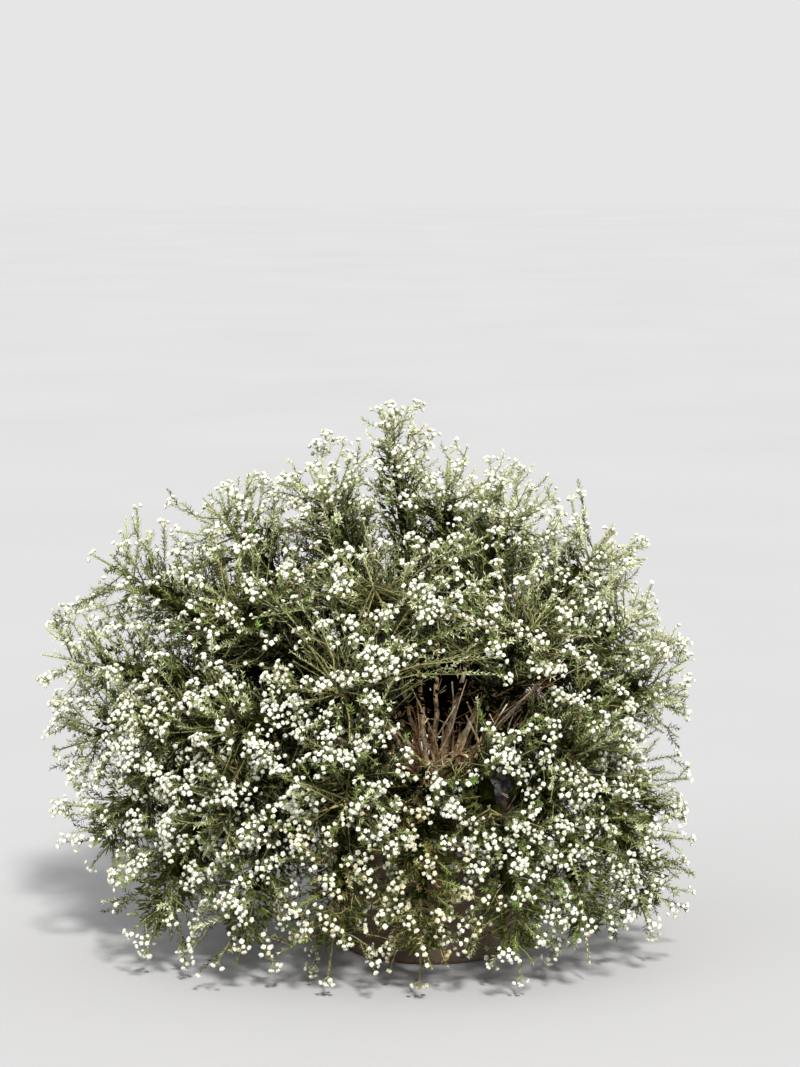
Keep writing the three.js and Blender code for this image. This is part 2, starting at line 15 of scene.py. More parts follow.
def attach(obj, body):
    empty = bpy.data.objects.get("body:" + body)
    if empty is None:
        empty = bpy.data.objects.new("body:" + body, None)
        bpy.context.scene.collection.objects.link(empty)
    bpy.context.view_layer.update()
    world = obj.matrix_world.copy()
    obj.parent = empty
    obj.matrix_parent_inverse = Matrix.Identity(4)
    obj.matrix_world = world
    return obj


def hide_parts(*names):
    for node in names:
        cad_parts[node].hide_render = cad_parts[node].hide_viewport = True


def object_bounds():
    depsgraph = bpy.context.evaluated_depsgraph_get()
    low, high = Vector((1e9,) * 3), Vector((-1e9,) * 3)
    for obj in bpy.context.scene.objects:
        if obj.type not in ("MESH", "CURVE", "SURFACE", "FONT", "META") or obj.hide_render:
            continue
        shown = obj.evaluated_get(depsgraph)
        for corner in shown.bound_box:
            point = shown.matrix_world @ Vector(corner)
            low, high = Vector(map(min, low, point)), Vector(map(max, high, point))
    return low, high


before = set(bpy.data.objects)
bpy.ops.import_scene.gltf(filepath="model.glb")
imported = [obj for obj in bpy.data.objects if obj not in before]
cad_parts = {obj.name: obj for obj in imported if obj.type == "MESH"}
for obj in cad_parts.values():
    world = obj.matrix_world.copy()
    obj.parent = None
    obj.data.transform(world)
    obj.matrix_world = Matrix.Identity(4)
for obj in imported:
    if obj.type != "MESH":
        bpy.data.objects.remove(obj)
cad_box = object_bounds()


def place(x, y, z):
    return np.array([x, y, z], float)


MM = 0.001
GOLDEN = math.pi * (3 - math.sqrt(5))
UP, FRONT_AND_BACK = place(0, 0, 1), place(0, 1, 0)
PAINT_MAP = "OFBake"

# Helpers for building square directions; no shoot runs quite along one
ASKEW, STEEP = place(0.3, 0.5, 0.8), place(0.12, 0.31, 0.94)
STEEPER, ACROSS = place(0.23, 0.11, 0.97), place(0.31, 0.87, 0.11)

# Sizes shared with the model
POT_HEIGHT, POT_RIM, POT_BODY, POT_FOOT = 160, 122, 114, 88
POT_LIP, POT_WALL, POT_FLOOR, POT_CHAMFER = 16, 9, 13, 3
LIP_FOOT = POT_HEIGHT - POT_LIP
DRAIN_HOLES, DRAIN_RADIUS, DRAIN_REACH = 3, 8, 36
SCREEN_THICKNESS = 1.6
SOIL_LEVEL, SOIL_MOUND = 147, 5
STOOL_RADIUS, STOOL_HEIGHT, STOOL_DEPTH = 25, 32, 62
STEM_RADIUS, STEM_END_RADIUS, STEM_SHARE, ARCH_HEIGHT = 3.4, 1.9, 0.44, 262
CROWN_CENTRE, CROWN_RADII = place(-58, 0, 221), place(262, 226, 238)
CROWN_LOWEST, CROWN_CANDIDATES, SPRAY_COUNT = -0.86, 900, 46
SKIRT_FULLNESS, SKIRT_ROOM = 3, 50
CORE_RADIUS, TERMINAL_SHARE, SHOOT_REACH = 31, 0.7, 38
HOLLOW_SHARE = 0.95
STONES = [
    ("stone_large", (58, -40, 155), (28, 24, 21), 5),
    ("stone_small", (-8, -78, 152), (19, 16, 14), 9),
]

# Ways into the crown that stay free: inner end, outer end and radius
HOLLOW = place(2, -40, 205), place(24, -216, 246), 42
CAVITY = place(72, -60, 240), place(66, -190, 266), 25
ROCK_VIEW = place(56, -44, 166), place(64, -190, 188), 19

# Bare places of the crown that long shoots arch over: middle, half size and shoots from each spray near it
ABOVE_HOLLOW = place(18, -150, 332)
GAP_RADIUS, GAP_ARCH = 140, place(0, -12, 20)
GAPS = [
    (ABOVE_HOLLOW, place(48, 18, 42), 9), (place(-10, -90, 388), place(80, 35, 22), 7),
    (place(-122, -122, 368), place(42, 22, 32), 7), (place(-64, -186, 276), place(28, 12, 28), 4),
]

# Shoots lean over the hollow from this height, fully so much higher, and by this share of the way
LEAN_FROM, LEAN_RISE, LEAN_SHARE = 240, 40, 0.6

# Tips of the sprays that draw the crown's outline: x, y, z and how wide the spray is
OUTLINE_TIPS = [
    (-40, -15, 526, 0.5), (-120, 0, 470, 0.9), (-222, 15, 436, 0.9), (-325, -10, 382, 0.9),
    (-376, -20, 287, 0.8), (-364, 8, 186, 0.9), (-326, -50, 84, 0.9), (-268, -125, 20, 0.85),
    (-182, -176, 16, 0.85), (-96, -196, 14, 0.85), (-12, -204, 12, 0.85), (80, -198, 14, 0.85),
    (146, -156, 18, 0.85), (208, -92, 26, 0.85), (218, 4, 86, 0.9), (180, 66, 166, 0.8),
    (248, 6, 250, 0.85), (214, 4, 336, 0.9), (178, 12, 404, 0.9), (84, -4, 448, 0.95),
    (16, 22, 472, 1.0),
]

# Growth at full fineness, counted for each spray of full width
SIDE_SHOOTS, TWIGS_PER_SHOOT = 58, 2.1
LEAVES_PER_SPRAY, LEAF_LENGTH, LEAF_WIDTH = 6000, (4.3, 6.7), (1.1, 1.6)
HEADS_PER_SPRAY, HEAD_SIZE, CLUSTER = 262, (2.1, 3.0), (3, 7)
# Inner and back leaves are dark leaves of painted shade in the heart of each spray
INNER_SHADE_LEAVES, BACK_SHADE_LEAVES, INNER_LENGTH, INNER_WIDTH = 500, 280, (8, 13), (2.4, 4.2)
TWIG_LENGTH, BOX_ROOM, ROOM_SPREAD = (14, 28), 8, 20

# Half thickness of a spray's branch, shoots and twigs, and the bare share at the foot of shoots and twigs
BRANCH_GIRTH, SHOOT_GIRTH, TWIG_GIRTH, SHOOT_BARE, TWIG_BARE = 1.8, 0.95, 0.6, 0.16, 0.08

# Degrees a leaf leans from its shoot, how far it closes up at the shoot's tip and how much leaves vary
LEAF_LEAN, LEAF_CLOSING, LEAN_SPREAD = 66, 30, 12

# Heads: from which depth of the crown, over what reach, how wide a cluster opens, the share that stand alone
BLOOM_DEPTH, BLOOM_REACH, CLUSTER_SPREAD, LONE_HEADS = 0.66, 0.26, 66, 0.14

# The spray at the very top, the height that skirt sprays end under, and how dry some sprays are
TOP_SPIKE, SKIRT_TIP = 0, 100
DRY_SPRAYS = {9: 0.3, 10: 0.5}

# How pale a leaf is: at mid shoot, how much shoots and leaves vary, the painted light of a shoot's tip
# (painted shade at its foot), the painted light of the crown's edge and painted shade deeper in, from which
# depth and how far, painted shade low down with a little painted light high up, and painted shade at the
# upper left
MID_TONE, SHOOT_TONES, LEAF_TONES, PAINTED_TIP_LIGHT = 0.68, (-0.02, 0.3), 0.12, 0.62
DEPTH_SHADE_AND_LIGHT, SHADE_BELOW_DEPTH, SURFACE_LIGHT_REACH = 2.3, 0.92, 0.1
SHADE_AND_LIGHT_BY_HEIGHT = [20, 170, 300, 420], [-0.5, -0.36, 0.02, 0.1]
UPPER_LEFT_SHADE = 0.3

# Twigs, dead leaves and crumbs under the crown, and the broken faces of a stone
FAN_STEMS, SIDE_TWIGS, LATTICE_TWIGS = 30, 320, 26
DEAD_LEAVES, LITTER_LEAVES, CRUMBS, ROCK_CHIPS = 460, 2200, 420, 22

# Camera: what it looks at and how far away it stands in metres, degrees it looks down, lens and sensor in mm
CAMERA_AIM, CAMERA_AWAY, CAMERA_PITCH, LENS, SENSOR = (-0.03, 0, 0.40), 3.0, 8, 106, 36

# Suns: name, the side they shine from, how many degrees across, strength and tint
SUNS = [
    ("key", (0.25, -1.12, 1.1), 7, 5.5, (1.0, 0.985, 0.955)),
    ("fill", (-0.9, -0.8, 0.5), 40, 0.35, (0.95, 0.97, 1.0)),
]
SKY_TINT, SKY_STRENGTH = (0.99, 0.99, 1.0, 1), 0.8


def unit(v):
    return v / np.maximum(np.linalg.norm(v, axis=-1, keepdims=True), 1e-9)


def seeded(seed):
    return np.random.default_rng(seed)


# Where the sprays are
def crown_tips():
    """The outline tips first, then the crown's surface filled evenly at the widest gap left."""
    chosen = [(place(x, y, z), width) for x, y, z, width in OUTLINE_TIPS]
    i = np.arange(CROWN_CANDIDATES)
    height = 1 - ((1 - CROWN_LOWEST) * (i + 0.5)) / CROWN_CANDIDATES
    fullness = np.where(height < 0, SKIRT_FULLNESS, 2)
    across = (1 - np.abs(height) ** fullness) ** (1 / fullness)
    turn = i * GOLDEN
    tips = np.stack([across * np.cos(turn), across * np.sin(turn), height], 1) * CROWN_RADII + CROWN_CENTRE
    outside = np.hypot(tips[:, 0], tips[:, 1]) > POT_RIM + SKIRT_ROOM
    tips = tips[(tips[:, 2] > POT_HEIGHT) | outside]
    gaps = HOLLOW_SHARE * np.linalg.norm(tips - HOLLOW[1], axis=1)
    for tip, _ in chosen:
        gaps = np.minimum(gaps, np.linalg.norm(tips - tip, axis=1))
    while len(chosen) < SPRAY_COUNT:
        tip = tips[gaps.argmax()]
        chosen.append((tip, 1.0))
        gaps = np.minimum(gaps, np.linalg.norm(tips - tip, axis=1))
    return chosen


def branch_curve(tip):
    """Three points of the branch: its foot on the stool, the top of its arch and its tip."""
    across = math.hypot(tip[0], tip[1])
    spread = min(1, across / 160)
    rooted = tip[:2] / across * (STOOL_RADIUS - 7) * spread
    foot = np.array([*rooted, SOIL_LEVEL + STOOL_HEIGHT - 8 - 8 * spread])
    drop = min(max((ARCH_HEIGHT - tip[2]) / ARCH_HEIGHT, 0), 1)
    share = 0.5 + 0.3 * drop
    arch = np.array([tip[0] * share, tip[1] * share, max(ARCH_HEIGHT, (tip[2] + foot[2]) / 2 + 20)])
    return np.stack([foot, arch, tip])


def on_curve(points, t):
    """Places along curves of three points each; points is (..., 3 points, xyz)."""
    t = np.asarray(t, float)[..., None]
    a, b, c = points[..., 0, :], points[..., 1, :], points[..., 2, :]
    return (1 - t) ** 2 * a + 2 * t * (1 - t) * b + t**2 * c


def along_curve(points, t):
    """Which way such curves run at those places."""
    t = np.asarray(t, float)[..., None]
    a, b, c = points[..., 0, :], points[..., 1, :], points[..., 2, :]
    return unit((1 - t) * (b - a) + t * (c - b))


def traced(curves, steps):
    """Every curve as a line of points, one at each step."""
    return on_curve(curves[:, None], np.tile(steps, (len(curves), 1)))


def core_share(u):
    """How full a spray is along its middle: thin at the foot, fullest past half way, round at the end."""
    rising = 0.06 + 0.94 * np.sin(math.pi / 2 * np.minimum(u / 0.6, 1)) ** 1.3
    falling = np.sqrt(np.maximum(0, 1 - (np.maximum(u - 0.6, 0) / 0.42) ** 2.6))
    return np.where(u < 0.6, rising, falling)


class Spray:
    """One leafy branch end: its middle line and how far it reaches to the sides."""

    def __init__(self, number, tip, width):
        self.number, self.tip, self.width = number, tip, width
        self.name = f"spray_{number + 1:02d}"
        self.curve = branch_curve(tip)
        self.reach = SHOOT_REACH * (0.45 + 0.55 * width)
        self.length = np.linalg.norm(on_curve(self.curve, STEM_SHARE) - tip)
        self.dryness = DRY_SPRAYS.get(number, 0.0)

    def share(self, u):
        return STEM_SHARE + (1 - STEM_SHARE) * u * (1 - TERMINAL_SHARE * self.reach / self.length)

    def at(self, u):
        return on_curve(self.curve, self.share(u))

    def along(self, u):
        return along_curve(self.curve, self.share(u))


# Small closed pieces gathered into one mesh
class Bundle:
    """Points, faces, finishes and places on the paint map of many small closed pieces."""

    def __init__(self):
        self.points, self.faces, self.finish, self.paint, self.count = [], [], [], [], 0

    def add(self, points, faces, paint=None, finish=0, smooth=False):
        """points (pieces, corners, 3), faces (faces, 3), paint (pieces, corners, 2)."""
        pieces, corners = points.shape[:2]
        if paint is None:
            paint = np.zeros((pieces, corners, 2))
        starts = self.count + corners * np.arange(pieces)
        self.points.append(points.reshape(-1, 3))
        self.faces.append((faces[None] + starts[:, None, None]).reshape(-1, 3))
        self.finish.append(np.tile([[finish, smooth]], (pieces * len(faces), 1)))
        self.paint.append(paint.reshape(-1, 2))
        self.count += pieces * corners

    def make(self, name, finishes, paint_map=True):
        points, faces = np.concatenate(self.points), np.concatenate(self.faces)
        finish, paint = np.concatenate(self.finish), np.concatenate(self.paint)
        mesh = bpy.data.meshes.new(name)
        mesh.vertices.add(len(points))
        mesh.vertices.foreach_set("co", (points * MM).astype(np.float32).ravel())
        mesh.loops.add(3 * len(faces))
        mesh.loops.foreach_set("vertex_index", faces.astype(np.int32).ravel())
        mesh.polygons.add(len(faces))
        mesh.polygons.foreach_set("loop_start", np.arange(0, 3 * len(faces), 3, dtype=np.int32))
        mesh.update()
        mesh.polygons.foreach_set("material_index", finish[:, 0].astype(np.int32))
        mesh.polygons.foreach_set("use_smooth", finish[:, 1].astype(bool))
        if paint_map:
            layer = mesh.uv_layers.new(name=PAINT_MAP)
            layer.data.foreach_set("uv", paint[faces.ravel()].astype(np.float32).ravel())
        for material in finishes:
            mesh.materials.append(material)
        mesh.validate()
        piece = bpy.data.objects.new(name, mesh)
        bpy.context.scene.collection.objects.link(piece)
        return piece


def outward(points, faces):
    """The same faces, each wound so that its normal points away from the middle."""
    middle = points.mean(0)
    turned = []
    for a, b, c in faces:
        normal = np.cross(points[b] - points[a], points[c] - points[a])
        away = np.dot(normal, (points[a] + points[b] + points[c]) / 3 - middle)
        turned.append((a, b, c) if away > 0 else (a, c, b))
    return np.array(turned)


def frames(along, helper):
    """Two directions square to each given one."""
    side = unit(np.cross(along, helper))
    return side, np.cross(along, side)


def turned_out(along, helper, turn):
    """One direction square to each given one, turned round it."""
    side, other = frames(along, helper)
    return side * np.cos(turn)[:, None] + other * np.sin(turn)[:, None]


def numbered(count):
    """For every small piece, the row that it grows on and its own number there."""
    return np.repeat(np.arange(len(count)), count), np.concatenate([np.arange(n) for n in count])


def on_map(key, patch):
    """Each piece's patch of the paint map, moved along to its key."""
    return np.stack([key, np.zeros_like(key)], 1)[:, None] + patch[None]


# A leaf is folded along its midrib: foot, two edges and tip
LEAF_POINTS = np.array([[0, 0, 0], [0.4, 0.5, 0.2], [0.4, -0.5, 0.2], [1, 0, 0.06]])
LEAF_FACES = np.array([(0, 3, 1), (0, 2, 3)])
LEAF_PAINT = np.array([[0, 0.03], [-0.006, 0.4], [0.006, 0.4], [0, 0.97]])


def add_leaves(bundle, feet, heading, face, length, width, key, finish):
    """Leaves from their feet along heading, with their hollow side towards face; key picks the colour."""
    side = unit(np.cross(face, heading))
    top = np.cross(heading, side)
    local = LEAF_POINTS[None] * np.stack([length, width, width * 1.4], 1)[:, None]
    axes = np.stack([heading, side, top], 1)
    points = feet[:, None] + np.einsum("nki,nij->nkj", local, axes)
    bundle.add(points, LEAF_FACES, on_map(key, LEAF_PAINT), finish)


# A flower head is a tuft: two rings of four florets under a domed top, over a narrow foot
def tuft():
    points = [(0, 0, -0.95)]
    for wide, high, start in ((0.88, -0.36, 0), (0.98, 0.40, math.pi / 4)):
        for k in range(4):
            turn = start + k * math.pi / 2
            points.append((wide * math.cos(turn), wide * math.sin(turn), high))
    points = np.array(points + [(0, 0, 0.78)])
    faces = []
    for k in range(4):
        low, next_low, high, next_high = 1 + k, 1 + (k + 1) % 4, 5 + k, 5 + (k + 1) % 4
        faces += [(0, low, next_low), (low, next_low, high)]
        faces += [(high, next_high, next_low), (high, next_high, 9)]
    return points, outward(points, faces)


HEAD_POINTS, HEAD_FACES = tuft()
HEAD_HEIGHT = 0.5 + 0.42 * HEAD_POINTS[:, 2] + 0.03 * HEAD_POINTS[:, 1]
HEAD_PAINT = np.stack([0.010 * HEAD_POINTS[:, 0], HEAD_HEIGHT], 1)


def add_heads(bundle, centres, axis, size, key, finish):
    side, other = frames(axis, ACROSS)
    axes = np.stack([side, other, axis], 1)
    local = HEAD_POINTS[None] * np.stack([size, size, size * 0.9], 1)[:, None]
    points = centres[:, None] + np.einsum("nki,nij->nkj", local, axes)
    bundle.add(points, HEAD_FACES, on_map(key, HEAD_PAINT), finish)


def rod_faces(rings, sides):
    """The triangles of a rod, ring after ring, with both ends closed."""
    faces = []
    for i in range(rings - 1):
        for k in range(sides):
            a, b = i * sides + k, i * sides + (k + 1) % sides
            c, d = a + sides, b + sides
            faces += [(a, b, c), (b, d, c)]
    last = (rings - 1) * sides
    for k in range(1, sides - 1):
        faces += [(0, k + 1, k), (last, last + k, last + k + 1)]
    return np.array(faces)


def add_rods(bundle, lines, radii, key, finish, sides=3):
    """Tapered rods along lines (rods, rings, 3) with their radii (rods, rings)."""
    rods, rings = lines.shape[:2]
    along = unit(np.gradient(lines, axis=1))
    side, other = frames(along, STEEPER)
    angle = 2 * math.pi * np.arange(sides) / sides
    spokes = side[:, :, None] * np.cos(angle)[:, None] + other[:, :, None] * np.sin(angle)[:, None]
    points = (lines[:, :, None] + spokes * radii[:, :, None, None]).reshape(rods, -1, 3)
    across = 0.012 * (np.arange(sides) / sides - 0.5)
    up = 0.03 + 0.94 * np.arange(rings) / (rings - 1)
    patch = np.stack(np.broadcast_arrays(across[None], up[:, None] + 0.01 * np.arange(sides)), 2)
    bundle.add(points, rod_faces(rings, sides), on_map(key, patch.reshape(-1, 2)), finish, smooth=True)


# A stalk is a spike of three sides
STALK_POINTS = np.array([[0, 1.0, 0], [0, -0.5, 0.87], [0, -0.5, -0.87], [1, 0, 0]])
STALK_FACES = outward(STALK_POINTS, [(0, 1, 3), (1, 2, 3), (2, 0, 3), (0, 1, 2)])
STALK_PAINT = np.array([[-0.006, 0.1], [0.006, 0.1], [0, 0.2], [0, 0.95]])


def add_stalks(bundle, feet, ends, thick, key, finish):
    reach = ends - feet
    side, other = frames(reach, ASKEW)
    axes = np.stack([reach, side * thick, unit(other) * thick], 1)
    points = feet[:, None] + np.einsum("ki,nij->nkj", STALK_POINTS, axes)
    bundle.add(points, STALK_FACES, on_map(key, STALK_PAINT), finish)


# Places on the paint map: leaves dark to pale (own tone with painted shade and painted light), dry leaves,
# twigs green to brown, heads white to tan
LEAF_KEYS, FRESH_KEYS, DRY_KEYS = (0.03, 0.46), (0.48, 0.51), (0.54, 0.60)
TWIG_KEYS, HEAD_KEYS = (0.63, 0.77), (0.82, 0.97)


def key_in(span, share):
    return span[0] + (span[1] - span[0]) * np.clip(share, 0, 1)


def clear_of_pot(points, room=8, inner=84):
    """Points near the pot's wall are moved out past its rim; those further in are lifted over the soil."""
    points = points.copy()
    across = np.hypot(points[..., 0], points[..., 1])
    low = points[..., 2] < POT_HEIGHT + room
    wall = low & (across < POT_RIM + room) & (across > inner)
    points[..., :2] *= np.where(wall, (POT_RIM + room) / np.maximum(across, 1), 1)[..., None]
    lift = low & (across <= inner) & (points[..., 2] > 20)
    points[..., 2] = np.where(lift, np.maximum(points[..., 2], SOIL_LEVEL + 2 * room), points[..., 2])
    return points


def beside(points, heart, mouth):
    """How far points lie to the side of the line from heart to mouth and on past it, and which way."""
    axis = mouth - heart
    t = np.clip(((points - heart) @ axis) / (axis @ axis), 0, 1.3)[..., None]
    away = points - (heart + t * axis)
    return np.linalg.norm(away, axis=-1, keepdims=True), away, t > 0


def clear_of_hollow(points, margin=0.0):
    """Points in the open hollow, or in the dark cavity beside it, are moved to the side."""
    for heart, mouth, radius in (HOLLOW, CAVITY):
        gap, away, ahead = beside(points, heart, mouth)
        points = points + away / np.maximum(gap, 1e-6) * np.maximum(radius + margin - gap, 0) * ahead
    return points


def before_rock(points):
    """Points that would stand in front of the rock at the foot of the hollow."""
    heart, mouth, radius = ROCK_VIEW
    gap, _, ahead = beside(points, heart, mouth)
    return (gap[..., 0] < radius) & ahead[..., 0]


def hides_rock(curves):
    """Which curves would hide the rock."""
    return before_rock(traced(curves, np.linspace(0.2, 1, 6))).any(1)


def lean_over_hollow(points):
    """Shoots round the bare place above the hollow lean over it."""
    pull = ABOVE_HOLLOW - points
    near = np.clip(1 - np.linalg.norm(pull, axis=-1, keepdims=True) / GAP_RADIUS, 0, 1)
    over = np.clip((points[..., 2:] - LEAN_FROM) / LEAN_RISE, 0, 1)
    return points + LEAN_SHARE * pull * near * over


def reach_over_gaps(spray, draw):
    """Long shoots that arch over the bare places next to the spray."""
    shoots = []
    for middle, half_size, count in GAPS:
        if np.linalg.norm(spray.tip - middle) < GAP_RADIUS:
            start = spray.at(draw.uniform(0.4, 0.95, count))
            end = middle + draw.uniform(-1, 1, (count, 3)) * half_size
            shoots.append(np.stack([start, (start + end) / 2 + GAP_ARCH, end], 1))
    return shoots


# The model's box in millimetres, with its bottom a little above the floor
LOWEST = np.array(list(cad_box[0])) / MM + [0, 0, 4]
HIGHEST = np.array(list(cad_box[1])) / MM


def inside_box(points, margin):
    """Points moved to where they keep a margin to the model's box."""
    return np.clip(points, LOWEST + margin, HIGHEST - margin)


def depth_in_crown(points):
    """1 on the crown's surface and 0 at its middle."""
    return np.linalg.norm((points - CROWN_CENTRE) / CROWN_RADII, axis=-1)


def grow_shoots(spray, draw):
    """The spray's middle shoot and its side shoots, each a curve of three points."""
    foot = spray.at(0.0)
    middle = [foot, 2 * spray.at(0.5) - (foot + spray.tip) / 2, spray.tip - 5 * spray.along(1.0)]
    count = round(SIDE_SHOOTS * (0.35 + 0.65 * spray.width))
    u = 0.02 + 0.93 * (np.arange(count) + draw.random(count)) / count
    base, along = spray.at(u), spray.along(u)
    out = turned_out(along, STEEP, np.arange(count) * GOLDEN + draw.uniform(-0.3, 0.3, count))
    wide = CORE_RADIUS * spray.width * core_share(u) + spray.reach
    if spray.number == TOP_SPIKE:
        wide *= np.interp(u, [0.2, 1], [0.9, 0.5])
    near = np.sqrt(draw.uniform(0.16, 1.0, count))
    ahead = spray.reach * (0.35 + 0.45 * draw.random(count) + 0.35 * (1 - near)) + 6
    wide, ahead = (wide * near)[:, None], ahead[:, None]
    end = base + out * wide + along * ahead + UP * draw.uniform(0, 10, count)[:, None]
    bend = base + out * wide * 0.55 + along * ahead * 0.3
    return np.concatenate([[middle], np.stack([base, bend, end], 1)])


def grow_twigs(curves, draw):
    """Short twigs from the outer part of each side shoot."""
    row = np.repeat(np.arange(len(curves)), (TWIGS_PER_SHOOT + draw.random(len(curves))).astype(int))
    t = draw.uniform(0.35, 0.92, len(row))
    base, along = on_curve(curves[row], t), along_curve(curves[row], t)
    out = turned_out(along, ASKEW, draw.uniform(0, 2 * math.pi, len(row)))
    length = draw.uniform(*TWIG_LENGTH, len(row))[:, None]
    heading = unit(0.76 * along + 0.66 * out)
    end = base + heading * length + UP * draw.uniform(0, 5, len(row))[:, None]
    bend = base + (0.5 * heading + 0.2 * out) * length
    return np.stack([base, bend, end], 1)


def leaf_tone(feet, t, shoot_tone, draw):
    """From 0, the darkest leaf, to 1, the palest: its own random tone, painted shade deep and low in the
    crown and at the upper left, and painted light at a shoot's tip and on the crown's surface.
    """
    # Painted light towards a shoot's tip and painted shade at its foot, over a random tone
    tone = MID_TONE + shoot_tone + draw.normal(0, LEAF_TONES, len(feet)) + PAINTED_TIP_LIGHT * (t - 0.56)
    # Painted light on the crown's surface, painted shade deeper in
    tone = tone + DEPTH_SHADE_AND_LIGHT * np.minimum(depth_in_crown(feet) - SHADE_BELOW_DEPTH, SURFACE_LIGHT_REACH)
    # Painted shade low in the crown, a little painted light at the top
    tone += np.interp(feet[:, 2], *SHADE_AND_LIGHT_BY_HEIGHT)
    # Painted shade at the upper left
    upper, left = np.clip((feet[:, 2] - 280) / 60, 0, 1), np.clip((-140 - feet[:, 0]) / 120, 0, 1)
    return tone - UPPER_LEFT_SHADE * left * upper


def put_leaves(bundle, spray, curves, leafy, draw):
    """Needle leaves crowded in a spiral on the leafy part of every shoot."""
    lengths = np.linalg.norm(curves[:, 2] - curves[:, 0], axis=1) * (1 - leafy)
    total = LEAVES_PER_SPRAY * (0.4 if spray.number == TOP_SPIKE else 0.3 + 0.7 * spray.width)
    count = np.maximum((total * lengths / lengths.sum()).astype(int), 3)
    row, number = numbered(count)
    t = leafy[row] + (1 - leafy[row]) * (number + draw.random(len(row))) / count[row]
    feet, along = on_curve(curves[row], t), along_curve(curves[row], t)
    out = turned_out(along, ASKEW, number * GOLDEN + draw.uniform(-0.25, 0.25, len(row)))
    uneven = draw.uniform(-LEAN_SPREAD, LEAN_SPREAD, len(row))
    lean = np.radians(LEAF_LEAN - LEAF_CLOSING * t**3 + uneven)[:, None]
    heading = unit(along * np.cos(lean) + out * np.sin(lean) + 0.12 * UP)
    length = draw.uniform(*LEAF_LENGTH, len(row)) * (1 - 0.3 * t**4)
    width = draw.uniform(*LEAF_WIDTH, len(row))
    shoot_tone = draw.normal(*SHOOT_TONES, len(curves))[row]
    # The key carries the painted shade and painted light worked out in leaf_tone
    key = key_in(LEAF_KEYS, leaf_tone(feet, t, shoot_tone, draw))
    fresh_share = 0.2 if abs(spray.tip[0]) < 100 and spray.tip[2] < 200 else 0.07
    fresh = (draw.random(len(curves)) < fresh_share)[row] & (t > 0.45)
    key = np.where(fresh, key_in(FRESH_KEYS, draw.random(len(row))), key)
    dry = draw.random(len(row)) < 0.02 + 0.5 * spray.dryness + 0.2 * (t < leafy[row] + 0.1)
    key = np.where(dry, key_in(DRY_KEYS, draw.random(len(row))), key)
    add_leaves(bundle, feet, heading, along, length, width, key, 0)


def bloom_at(tip):
    """More heads low on the left, fewer at the top, at the upper left and on the right."""
    by_height = np.interp(tip[2], [60, 200, 330, 480], [1.25, 1.15, 0.95, 0.85])
    far_left = 1.05 if tip[2] < 250 else 0.65
    by_side = np.interp(tip[0], [-300, -100, 120, 250], [far_left, 1.05, 0.95, 0.65])
    return float(by_height * by_side)


def put_heads(bundle, spray, curves, twig_from, draw):
    """Clusters of flower heads on short stalks at the ends of the outer shoots."""
    ends, along = curves[:, 2], along_curve(curves, np.ones(len(curves)))
    outer = np.clip((depth_in_crown(ends) - BLOOM_DEPTH) / BLOOM_REACH, 0, 1)
    weight = outer * draw.uniform(0.25, 1, len(ends))
    weight[twig_from:] *= 0.8
    total = HEADS_PER_SPRAY * (0.3 + 0.7 * spray.width) * bloom_at(spray.tip)
    clusters = np.argsort(-weight)[: round(total * (1 - LONE_HEADS) / np.mean(CLUSTER))]
    count = (draw.random(len(ends)) < LONE_HEADS * total / len(ends)).astype(int)
    count[clusters] = draw.integers(*CLUSTER, len(clusters), endpoint=True)
    row, number = numbered(count)
    opened = np.radians(CLUSTER_SPREAD) * np.sqrt((number + 0.2) / count[row])
    lean = opened + draw.uniform(-0.12, 0.12, len(row))
    turn = number * GOLDEN + draw.uniform(0, 2 * math.pi, len(ends))[row]
    forward = unit(along + 0.35 * UP)[row]
    out = turned_out(forward, ASKEW, turn)
    heading = unit(forward * np.cos(lean)[:, None] + out * np.sin(lean)[:, None])
    stalk = 1.8 + 1.95 * np.sqrt(count[row]) * (0.6 + 0.4 * np.sin(lean))
    stalk *= draw.uniform(0.85, 1.2, len(row))
    size = draw.uniform(*HEAD_SIZE, len(row)) * np.where(draw.random(len(row)) < 0.18, 0.7, 1)
    starts = ends[row] - forward * 1.5
    centres = inside_box(starts + heading * (stalk + size)[:, None], size[:, None] + 0.5)
    add_stalks(bundle, starts, centres, 0.45, key_in(TWIG_KEYS, draw.uniform(0, 0.4, len(row))), 1)
    tone = np.abs(draw.normal(0, 0.22, len(row))) + spray.dryness * draw.uniform(0.3, 1.0, len(row))
    add_heads(bundle, centres, heading, size, key_in(HEAD_KEYS, tone), 2)


